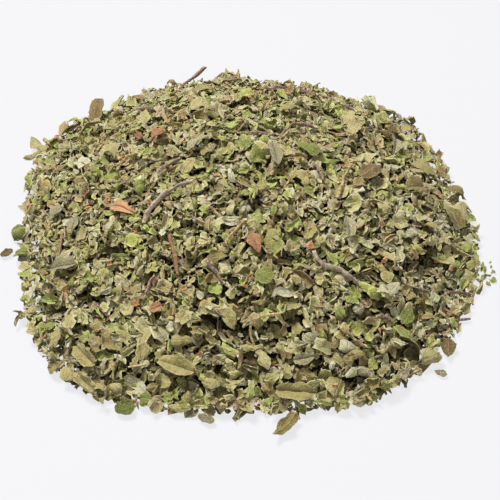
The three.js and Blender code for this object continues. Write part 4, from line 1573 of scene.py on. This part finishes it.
@dataclass
class FlakeRain:
    """Lays flakes one by one where the heap is lowest against its form, each at rest on the last."""

    form: HeapForm
    ground: HeightField
    view: View
    sorts: tuple[FlakeSort, ...] = (
        FlakeSort(BlankKind.CRUMB, 0.40, 1.25, 0.30),
        FlakeSort(BlankKind.FRAGMENT, 0.30, 2.4, 0.34),
        FlakeSort(BlankKind.LEAFLET, 0.14, 3.2, 0.28),
        FlakeSort(BlankKind.SHARD, 0.14, 3.0, 0.34),
        FlakeSort(BlankKind.TWIG, 0.02, 3.6, 0.35),
    )
    count: int = 27_000
    tries: int = 9
    area_out: float = 0.975  # share of the foot's area that flakes fall on
    least_lack: float = 0.15  # how far under its form the heap is where a flake still fits
    length_range: tuple[float, float] = (-0.8, 0.55)  # the logarithm of a flake's length, at its ends
    crown_size: float = 0.88
    foot_size: float = 1.05
    front_size: float = 1.2
    front_out: float = 30.0  # how far out in front the flakes reach their front size
    size_power: float = 2.2  # how late on the way out the flakes grow
    settle: float = 84.0  # percent of a flake's samples that clear what it rests on
    clearance: float = 0.03  # over the floor
    lean: float = 25.0  # spread of the tilt out of the bed, in degrees
    foot_lean: float = 0.5  # how much less the flakes lean at the foot
    most_lean: float = 70.0
    sunk: float = 1.5  # how far under the mean surface the lowest spots are filled to
    relief: float = 0.5
    edge: float = 1.6  # how high the flakes are piled at the front foot
    back_edge: float = 0.9
    largest_rust: float = 2.0
    before_leaves: float = 0.8  # share of the flakes that lie under the seen leaves
    seen_lean: float = 10.0
    seen_spread: float = 0.16
    seen_size: float = 0.92
    rust_size: float = 0.72
    gap_reach: int = 3  # cells that a flake's depth in a gap is measured against
    gap_least: float = 0.7  # how deep a flake lies before painted shade darkens it
    gap_most: float = 2.4  # and where that painted shade is full
    gap_tone: float = 0.5  # the lightest tone of a flake given painted shade
    bed_share: float = 0.6  # how far a flake follows the bed under it, beside the mean surface
    bed_reach: float = 0.4  # how far round its middle the bed is felt, against the flake's length
    bed_points: int = 6
    shade_shape: float = 1.4  # how closely the tones, hues and ages gather about their middle
    seed: int = 77
    finishes: tuple[tuple[Finish, float], ...] = (
        (Finish.GREY_GREEN, 0.51),
        (Finish.SAGE, 0.16),
        (Finish.FRESH_GREEN, 0.21),
        (Finish.OLIVE_BROWN, 0.10),
        (Finish.RUST, 0.02),
    )
    batches: dict[tuple[Finish, BlankKind], list[Batch]] = field(default_factory=dict)

    def fall(self, blanks: list[Blank]) -> None:
        """Lays all the flakes.

        Args:
            blanks: the shapes that flakes are bent from.
        """
        random = np.random.default_rng(self.seed)
        copies, owners = self._cut(blanks, random)
        order = random.permutation(len(copies))
        spots = self._spots(random)
        placed: dict[int, np.ndarray] = {}
        for turn, index in enumerate(order):
            if turn == round(self.before_leaves * len(order)):
                self._lay_seen(SEEN_LEAVES, blanks, random)
            done = self._lay(copies[index], owners[index], spots[turn], random)
            if done is not None:
                placed[index] = done
        self._lay_seen(SEEN_BITS, blanks, random)
        self._sort(placed, owners, random)
        LOG.info("laid %d of %d flakes", len(placed), len(copies))

    def _lay_seen(
        self, sorts: tuple[SeenSort, ...], blanks: list[Blank], random: np.random.Generator
    ) -> None:
        """Lays the bits that stand out, each where it is seen.

        Args:
            sorts: the bits.
            blanks: the shapes that they are bent from.
            random: the source of their bends.
        """
        for sort in sorts:
            self.batches.setdefault((sort.finish, sort.kind), []).extend(self.place(sort, blanks, random))

    def place(self, sort: SeenSort, blanks: list[Blank], random: np.random.Generator) -> list[Batch]:
        """Lays seen bits of one sort.

        Args:
            sort: the bits.
            blanks: the shapes that they are bent from.
            random: the source of their bends.

        Returns:
            A batch for each.
        """
        shapes = [blank for blank in blanks if blank.kind is sort.kind]
        scale = self.rust_size if sort.finish is Finish.RUST else self.seen_size
        batches = []
        for seen in sort.places:
            blank = shapes[int(random.integers(len(shapes)))]
            local = HABITS[sort.kind].draw(np.array([seen.length * scale]), random).apply(blank, random)[0]
            x, y = self.view.spot(seen, self.ground)
            up = self._up(local, x, y, self.seen_lean, random)
            turned = self._turned(local, self.view.along(seen, up), up, random)
            laid = self._settle(turned + (x, y, 0.0), blank)
            if laid is not None:
                shade = np.clip(np.array(sort.shade) + random.normal(0, self.seen_spread, 3), 0, 1)
                batches.append(Batch(blank, laid[None], shade[None]))
        return batches

    def _cut(self, blanks: list[Blank], random: np.random.Generator) -> tuple[list[np.ndarray], list[Blank]]:
        """Bends a copy for every flake.

        Args:
            blanks: the shapes that flakes are bent from.
            random: the source of their lengths and bends.

        Returns:
            The copies, and the blank of each.
        """
        copies, owners = [], []
        for sort in self.sorts:
            shapes = [blank for blank in blanks if blank.kind is sort.kind]
            for blank in shapes:
                number = round(self.count * sort.share / len(shapes))
                drawn = np.clip(random.normal(0, sort.spread, number), *self.length_range)
                lengths = sort.length * np.exp(drawn)
                copies.extend(HABITS[sort.kind].draw(lengths, random).apply(blank, random))
                owners.extend([blank] * number)
        return copies, owners

    def _spots(self, random: np.random.Generator) -> np.ndarray:
        """Draws candidate places for every flake, even over the heap.

        Args:
            random: the source of the places.

        Returns:
            An array of flakes by tries by 2, with more flakes than there are.
        """
        count = round(self.count * 1.01) + len(self.sorts) * 4
        angle = random.uniform(0, TURN, (count, self.tries))
        out = np.sqrt(random.uniform(0, self.area_out, (count, self.tries)))
        radius = out * self.form.foot_radius(angle)
        return np.stack([radius * np.cos(angle), radius * np.sin(angle)], -1)

    def _lay(
        self, copy: np.ndarray, blank: Blank, spots: np.ndarray, random: np.random.Generator
    ) -> np.ndarray | None:
        """Lays one flake at the lowest of its candidate places.

        Args:
            copy: the bent flake.
            blank: what it was bent from.
            spots: the places.
            random: the source of its lean and heading.

        Returns:
            The flake in place, or None where no place is free.
        """
        x, y = spots[:, 0], spots[:, 1]
        lack = self._goal(x, y) - self.ground.top[self.ground.cells(x, y)]
        best = int(lack.argmax())
        if lack[best] < self.least_lack:
            return None
        x, y = x[best], y[best]
        out = float(self.form.share_out(x, y))
        local = copy * self._size(x, y, out)
        up = self._up(local, x, y, self.lean * (1 - self.foot_lean * out**4), random)
        heading = random.uniform(0, TURN)
        along = np.array([math.cos(heading), math.sin(heading), 0.0])
        along -= (along @ up) * up
        along /= np.linalg.norm(along)
        return self._settle(self._turned(local, along, up, random) + (x, y, 0.0), blank)

    def _size(self, x: float, y: float, out: float) -> float:
        """Works out how large flakes are at a place: small at the crown, and large in front.

        Args:
            x: how far right the place lies.
            y: how far back it lies.
            out: how far out it lies, 0 at the crown and 1 at the foot.

        Returns:
            Their size against the length that was drawn for them.
        """
        radius = math.hypot(x, y) + 1.0
        front = max(-y / radius, 0.0) * min(radius / self.front_out, 1.0)
        foot = self.foot_size + (self.front_size - self.foot_size) * front
        return self.crown_size + (foot - self.crown_size) * out**self.size_power

    @staticmethod
    def _turned(
        local: np.ndarray, along: np.ndarray, up: np.ndarray, random: np.random.Generator
    ) -> np.ndarray:
        """Turns a bent copy to lie along a direction, with either side up.

        Args:
            local: the copy.
            along: the direction.
            up: the normal of what it lies on.
            random: what picks the side.

        Returns:
            The turned copy.
        """
        flip = random.choice((-1.0, 1.0))
        return local @ np.stack([along, np.cross(up, along) * flip, up * flip])

    def _settle(self, turned: np.ndarray, blank: Blank) -> np.ndarray | None:
        """Lowers a turned flake onto the heap, and raises the heap by it.

        Args:
            turned: the flake, over its place.
            blank: what it was bent from.

        Returns:
            The flake at rest, or None where a leaf of the frame roofs the place.
        """
        samples = blank.dense @ turned
        cells = self.ground.cells(samples[:, 0], samples[:, 1])
        rise = np.percentile(self.ground.top[cells] - samples[:, 2], self.settle)
        rise = max(rise, self.clearance - turned[:, 2].min())
        samples[:, 2] += rise
        if np.any(samples[:, 2] > self.ground.roof[cells]):
            return None
        np.maximum.at(self.ground.top, cells, samples[:, 2])
        return turned + (0.0, 0.0, rise)

    def _goal(self, x: np.ndarray, y: np.ndarray) -> np.ndarray:
        """Works out the height that flakes fill up to: the mean surface, sunk a little and uneven.

        Args:
            x: how far right the places lie.
            y: how far back they lie.

        Returns:
            The heights.
        """
        swell = np.sin(0.9 * x + 1.4 * np.sin(0.5 * y)) * np.sin(1.0 * y + 1.2 * np.sin(0.6 * x))
        least = np.where(y > 0, self.back_edge, self.edge)
        return np.maximum(self.form.surface(x, y) - self.sunk + self.relief * swell, least)

    def _up(
        self, local: np.ndarray, x: float, y: float, spread: float, random: np.random.Generator
    ) -> np.ndarray:
        """Finds which way a flake faces that lies on the bed, with a lean of its own.

        Args:
            local: the bent flake.
            x: how far right it lies.
            y: how far back it lies.
            spread: the spread of its lean, in degrees.
            random: the source of its lean.

        Returns:
            Its unit normal.
        """
        reach = self.bed_reach * np.ptp(local[:, 0])
        turn = np.arange(self.bed_points) / self.bed_points * TURN
        px, py = x + reach * np.cos(turn), y + reach * np.sin(turn)
        pz = self.ground.top[self.ground.cells(px, py)]
        slope = np.array([(pz * np.cos(turn)).sum(), (pz * np.sin(turn)).sum()])
        slope = slope / (self.bed_points / 2 * reach)
        bed = np.array([-slope[0], -slope[1], 1.0])
        up = self.bed_share * bed / np.linalg.norm(bed) + (1 - self.bed_share) * self.form.normal(x, y)
        lean = np.tan(np.radians(np.clip(random.normal(0, spread, 2), -self.most_lean, self.most_lean)))
        up = up / np.linalg.norm(up) + np.array([lean[0], lean[1], 0.0])
        return up / np.linalg.norm(up)

    def _sort(self, placed: dict[int, np.ndarray], owners: list[Blank], random: np.random.Generator) -> None:
        """Shares the laid flakes out among the finishes.

        Args:
            placed: the laid flakes, by number.
            owners: the blank of each flake.
            random: the source of their finishes and shades.
        """
        groups: dict[tuple[Finish, Blank], list[np.ndarray]] = {}
        for index, points in sorted(placed.items()):
            finish = self._finish(owners[index], points, random)
            groups.setdefault((finish, owners[index]), []).append(points)
        around = self.ground.mean_top(self.gap_reach)
        for (finish, blank), copies in groups.items():
            shades = random.beta(self.shade_shape, self.shade_shape, (len(copies), 3))
            laid = np.stack(copies)
            # painted shade: flakes deep in a gap get tones under 0, which darken their colour
            shades[:, 0] = self._in_gaps(shades[:, 0], laid.mean(1), around)
            self.batches.setdefault((finish, blank.kind), []).append(Batch(blank, laid, shades))

    def _finish(self, blank: Blank, points: np.ndarray, random: np.random.Generator) -> Finish:
        """Draws the finish of a flake.

        Args:
            blank: what the flake was bent from.
            points: the flake in place.
            random: the source of the finish.

        Returns:
            The finish. A large flake is never rust-brown.
        """
        names, shares = zip(*self.finishes)
        finish = names[int(random.choice(len(names), p=shares))]
        if blank.kind is BlankKind.TWIG:
            return random.choice((Finish.PURPLE_STEM, Finish.STRAW_STEM))
        if finish is Finish.RUST and np.ptp(points, axis=0).max() > self.largest_rust:
            return Finish.OLIVE_BROWN
        return finish

    def _in_gaps(self, tones: np.ndarray, middles: np.ndarray, around: np.ndarray) -> np.ndarray:
        """Paints shade on flakes that lie deep in a gap, by lowering their tones.

        Args:
            tones: the flakes' tones.
            middles: where their middles lie.
            around: the heap's mean height round each cell.

        Returns:
            The tones, under 0 where a flake gets painted shade.
        """
        depth = around[self.ground.cells(middles[:, 0], middles[:, 1])] - middles[:, 2]
        sunk = np.clip((depth - self.gap_least) / (self.gap_most - self.gap_least), 0, 1)
        return np.where(sunk > 0, np.minimum(tones, self.gap_tone) * (1 - sunk) - sunk, tones)


# The heap as a whole


@dataclass
class HerbHeap:
    """The whole heap: the inner mass, the frame's own leaves and stems made fine, and the flakes."""

    frame: dict
    view: View
    form: HeapForm = field(default_factory=HeapForm)
    crumbled: str = "loose_leaf_05"
    round_leaves: tuple[str, ...] = ("whole_leaf_13", "loose_leaf_01")
    covered_leaf: str = "whole_leaf_13"
    long_chip: str = "brown_chip_01"
    grey_stems: tuple[str, ...] = ("stem_07", "stem_12")
    leaf_gap: float = 0.25  # how far under a leaf of the frame the flakes keep
    inner_depth: float = 3.4
    inner_share: float = 0.92  # how far out the inner mass reaches, against the foot
    inner_rough: float = 0.35
    inner_sunk: float = 0.3  # how much deeper its mesh lies than the bed of the first flakes
    inner_least: float = 0.3
    inner_floor: float = 0.05
    inner_cells: int = 150
    seed: int = 5

    def build(self) -> None:
        """Builds every piece in order."""
        maker = BlankMaker()
        flake_blanks = [maker.model(cut) for cut in FLAKE_CUTS]
        leaf_blanks = [maker.model(cut) for cut in LEAF_CUTS]
        stem_blank = maker.model(STEM_CUT)
        self.pieces = PieceMaker({finish: look.make() for finish, look in FINISHES.items()})
        self.ground = HeightField(self.form, self.inner_depth)
        self._inner_mass()
        self._framed(leaf_blanks, stem_blank)
        self._flakes(flake_blanks + leaf_blanks)

    def _inner_mass(self) -> None:
        """Models the closed mass under the flakes, rough on top and flat below."""
        bpy.ops.mesh.primitive_grid_add(
            x_subdivisions=self.inner_cells, y_subdivisions=self.inner_cells, size=2.0
        )
        mass = bpy.context.object
        mass.name = mass.data.name = "inner_mass"
        bpy.ops.object.mode_set(mode="EDIT")
        bpy.ops.mesh.select_all(action="SELECT")
        bpy.ops.mesh.extrude_region_move(TRANSFORM_OT_translate={"value": (0, 0, 1.0)})
        bpy.ops.mesh.select_all(action="SELECT")
        bpy.ops.mesh.normals_make_consistent(inside=False)
        bpy.ops.object.mode_set(mode="OBJECT")
        placed = self._heaped(coordinates(mass.data))
        mass.data.vertices.foreach_set("co", (placed * MM).astype(np.float32).ravel())
        mass.data.update()
        # its dark brown is painted shade for the deep gaps between the flakes
        mass.data.materials.append(InnerMass().make())
        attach(mass, "root")
        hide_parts("leaf_heap")
        LOG.info("inner_mass: %d faces", len(mass.data.polygons))

    def _heaped(self, points: np.ndarray) -> np.ndarray:
        """Shapes a square slab to the heap's form.

        Args:
            points: the slab's vertices, 2 wide about the origin and 1 high.

        Returns:
            The vertices of the inner mass, in millimetres.
        """
        upper = points[:, 2] > 0.5
        out = np.maximum(np.abs(points[:, :2]).max(1), TINY)
        angle = np.arctan2(points[:, 1], points[:, 0])
        radius = out * self.form.foot_radius(angle) * self.inner_share
        x, y = radius * np.cos(angle), radius * np.sin(angle)
        rough = self.inner_rough * np.sin(2.1 * x + 1.7 * np.sin(0.9 * y))
        rough = rough * np.sin(1.9 * y + 1.3 * np.sin(1.1 * x))
        z = self.form.surface(x, y) - self.inner_depth + rough - self.inner_sunk
        return np.stack([x, y, np.maximum(z, self.inner_least) * upper + self.inner_floor], 1)

    def _framed(self, leaves: list[Blank], stem: Blank) -> None:
        """Makes the frame's leaves, chips and stems, each a piece of its own.

        Args:
            leaves: the shapes that leaves and chips are bent from.
            stem: the rod that stems are bent from.
        """
        random = np.random.default_rng(self.seed)
        slots = {row["node"]: row["material_slot"] for row in self.frame["record"]["subparts"]}
        for node in sorted(self.frame["nodes"]):
            if node in ("leaf_heap", self.crumbled):
                continue
            if node.startswith("stem"):
                look = FramedStem(node, greyed=1.0) if node in self.grey_stems else FramedStem(node)
                batch = look.build(self.frame, stem, random)
            else:
                shape = ROUND_LEAF if node in self.round_leaves else int(random.integers(len(leaves)))
                batch = self._leaf(node).build(self.frame, leaves[shape], random)
            piece = self.pieces.make(f"fine_{node}", [batch], Finish(slots[node]))
            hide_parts(node)
            self.ground.shelter(batch.blank.dense @ batch.points[0] - (0, 0, self.leaf_gap))

    def _leaf(self, node: str) -> FramedLeaf:
        """Settles how a leaf or chip of the frame looks.

        Args:
            node: its node.

        Returns:
            The leaf, ready to build.
        """
        if node.startswith("loose"):
            return FramedLeaf(node, tones=(-0.45, -0.1), cup=1.5)
        if node == self.long_chip:
            return FramedLeaf(node, size=1.2, tones=(0.9, 1.1))
        if node.startswith("brown"):
            return FramedLeaf(node, tones=(0.35, 0.75))
        return FramedLeaf(node, size=0.82 if node == self.covered_leaf else 1.0)

    def _flakes(self, blanks: list[Blank]) -> None:
        """Lays the flakes and joins them into a few pieces by finish and kind.

        Args:
            blanks: the shapes that flakes are bent from.
        """
        rain = FlakeRain(self.form, self.ground, self.view)
        rain.fall(blanks)
        crumbs = rain.place(CRUMBS_BY_THE_FOOT, blanks, np.random.default_rng(self.seed))
        piece = self.pieces.make(f"fine_{self.crumbled}", crumbs, CRUMBS_BY_THE_FOOT.finish)
        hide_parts(self.crumbled)
        for (finish, kind), batches in sorted(rain.batches.items(), key=lambda item: str(item[0])):
            for number, part in enumerate(self._portions(batches), 1):
                piece = self.pieces.make(f"{finish.value}_{kind.value}_{number}", part, finish)
                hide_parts("leaf_heap")

    @staticmethod
    def _portions(batches: list[Batch]) -> list[list[Batch]]:
        """Splits batches so that each portion keeps under the limit of triangles in a piece.

        Args:
            batches: all the copies of a finish and kind.

        Returns:
            The portions.
        """
        portions: list[list[Batch]] = [[]]
        room = TRIANGLE_LIMIT
        for batch in batches:
            points, shades = batch.points, batch.shades
            while len(points):
                fits = min(room // batch.blank.triangles, len(points))
                if fits:
                    portions[-1].append(Batch(batch.blank, points[:fits], shades[:fits]))
                    room -= fits * batch.blank.triangles
                    points, shades = points[fits:], shades[fits:]
                if len(points):
                    portions.append([])
                    room = TRIANGLE_LIMIT
        return portions


# The stage


@dataclass(frozen=True)
class AreaLight:
    """A soft light: where it stands, how large it is and how strong."""

    name: str
    place: tuple[float, float, float]
    size: float
    power: float

    def make(self) -> None:
        """Hangs the light, turned to the heap."""
        lamp = bpy.data.lights.new(self.name, "AREA")
        lamp.shape = "DISK"
        lamp.size = self.size
        lamp.energy = self.power
        body = bpy.data.objects.new(self.name, lamp)
        body.location = self.place
        body.rotation_euler = (-Vector(self.place)).to_track_quat("-Z", "Y").to_euler()
        bpy.context.scene.collection.objects.link(body)


@dataclass(frozen=True)
class Studio:
    """A plain pale floor, soft light and the camera. Its places and sizes are in metres."""

    elevation: float = 46.0
    distance: float = 0.350
    aim: tuple[float, float, float] = (0.0004, -0.005, 0.0)
    lens: float = 102.9
    sensor: float = 36.0
    picture: int = 500  # how many pixels wide the photograph is
    nearest: float = 0.01
    floor_half: float = 1.5
    floor_colour: Colour = (0.09, 0.0895, 0.0908)
    floor_rough: float = 0.9
    floor_shine: float = 0.1
    glow_colour: Colour = (0.97, 0.963, 0.985)
    floor_glow: float = 0.660
    lights: tuple[AreaLight, ...] = (
        AreaLight("key", (-0.26, 0.15, 0.85), 0.32, 9.7),
        AreaLight("fill", (0.20, -0.62, 0.75), 0.70, 2.5),
    )
    ambient_colour: Colour = (0.97, 0.98, 1.0)
    ambient: float = 0.17

    def camera(self) -> View:
        """Places the camera, looking along +Y and down.

        Returns:
            What it sees, in millimetres.
        """
        data = bpy.data.cameras.new("camera")
        data.lens = self.lens
        data.sensor_width = self.sensor
        data.clip_start = self.nearest
        body = bpy.data.objects.new("camera", data)
        tilt = math.radians(self.elevation)
        back, up = (0.0, -math.cos(tilt), math.sin(tilt)), (0.0, math.sin(tilt), math.cos(tilt))
        body.location = Vector(self.aim) + Vector(back) * self.distance
        body.rotation_euler = (-Vector(back)).to_track_quat("-Z", "Y").to_euler()
        bpy.context.scene.collection.objects.link(body)
        bpy.context.scene.camera = body
        place = (np.array(self.aim) + np.array(back) * self.distance) / MM
        focus = self.lens / self.sensor * self.picture
        return View(place, np.array((1.0, 0.0, 0.0)), np.array(up), -np.array(back), focus, self.picture / 2)

    def floor(self) -> None:
        """Lays the floor."""
        bpy.ops.object.select_all(action="DESELECT")
        bpy.ops.mesh.primitive_plane_add(size=2 * self.floor_half)
        floor = bpy.context.object
        floor.name = "floor"
        paint = bpy.data.materials.new("floor_paint")
        paint.use_nodes = True
        surface = paint.node_tree.nodes["Principled BSDF"]
        surface.inputs["Base Color"].default_value = (*self.floor_colour, 1.0)
        surface.inputs["Emission Color"].default_value = (*self.glow_colour, 1.0)
        surface.inputs["Emission Strength"].default_value = self.floor_glow
        surface.inputs["Roughness"].default_value = self.floor_rough
        surface.inputs["Specular IOR Level"].default_value = self.floor_shine
        floor.data.materials.append(paint)

    def light(self) -> None:
        """Hangs the lights and sets the light from all round."""
        for light in self.lights:
            light.make()
        world = bpy.data.worlds.new("studio")
        world.use_nodes = True
        background = world.node_tree.nodes["Background"]
        background.inputs["Color"].default_value = (*self.ambient_colour, 1.0)
        background.inputs["Strength"].default_value = self.ambient
        scene = bpy.context.scene
        scene.world = world
        scene.view_settings.view_transform = "Standard"
        scene.view_settings.look = "Medium High Contrast"


def main() -> None:
    """Builds the scene around the frame."""
    logging.basicConfig(level=logging.INFO, format="%(message)s")
    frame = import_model()
    studio = Studio()
    HerbHeap(frame, studio.camera()).build()
    studio.floor()
    studio.light()


if __name__ == "__main__":
    main()
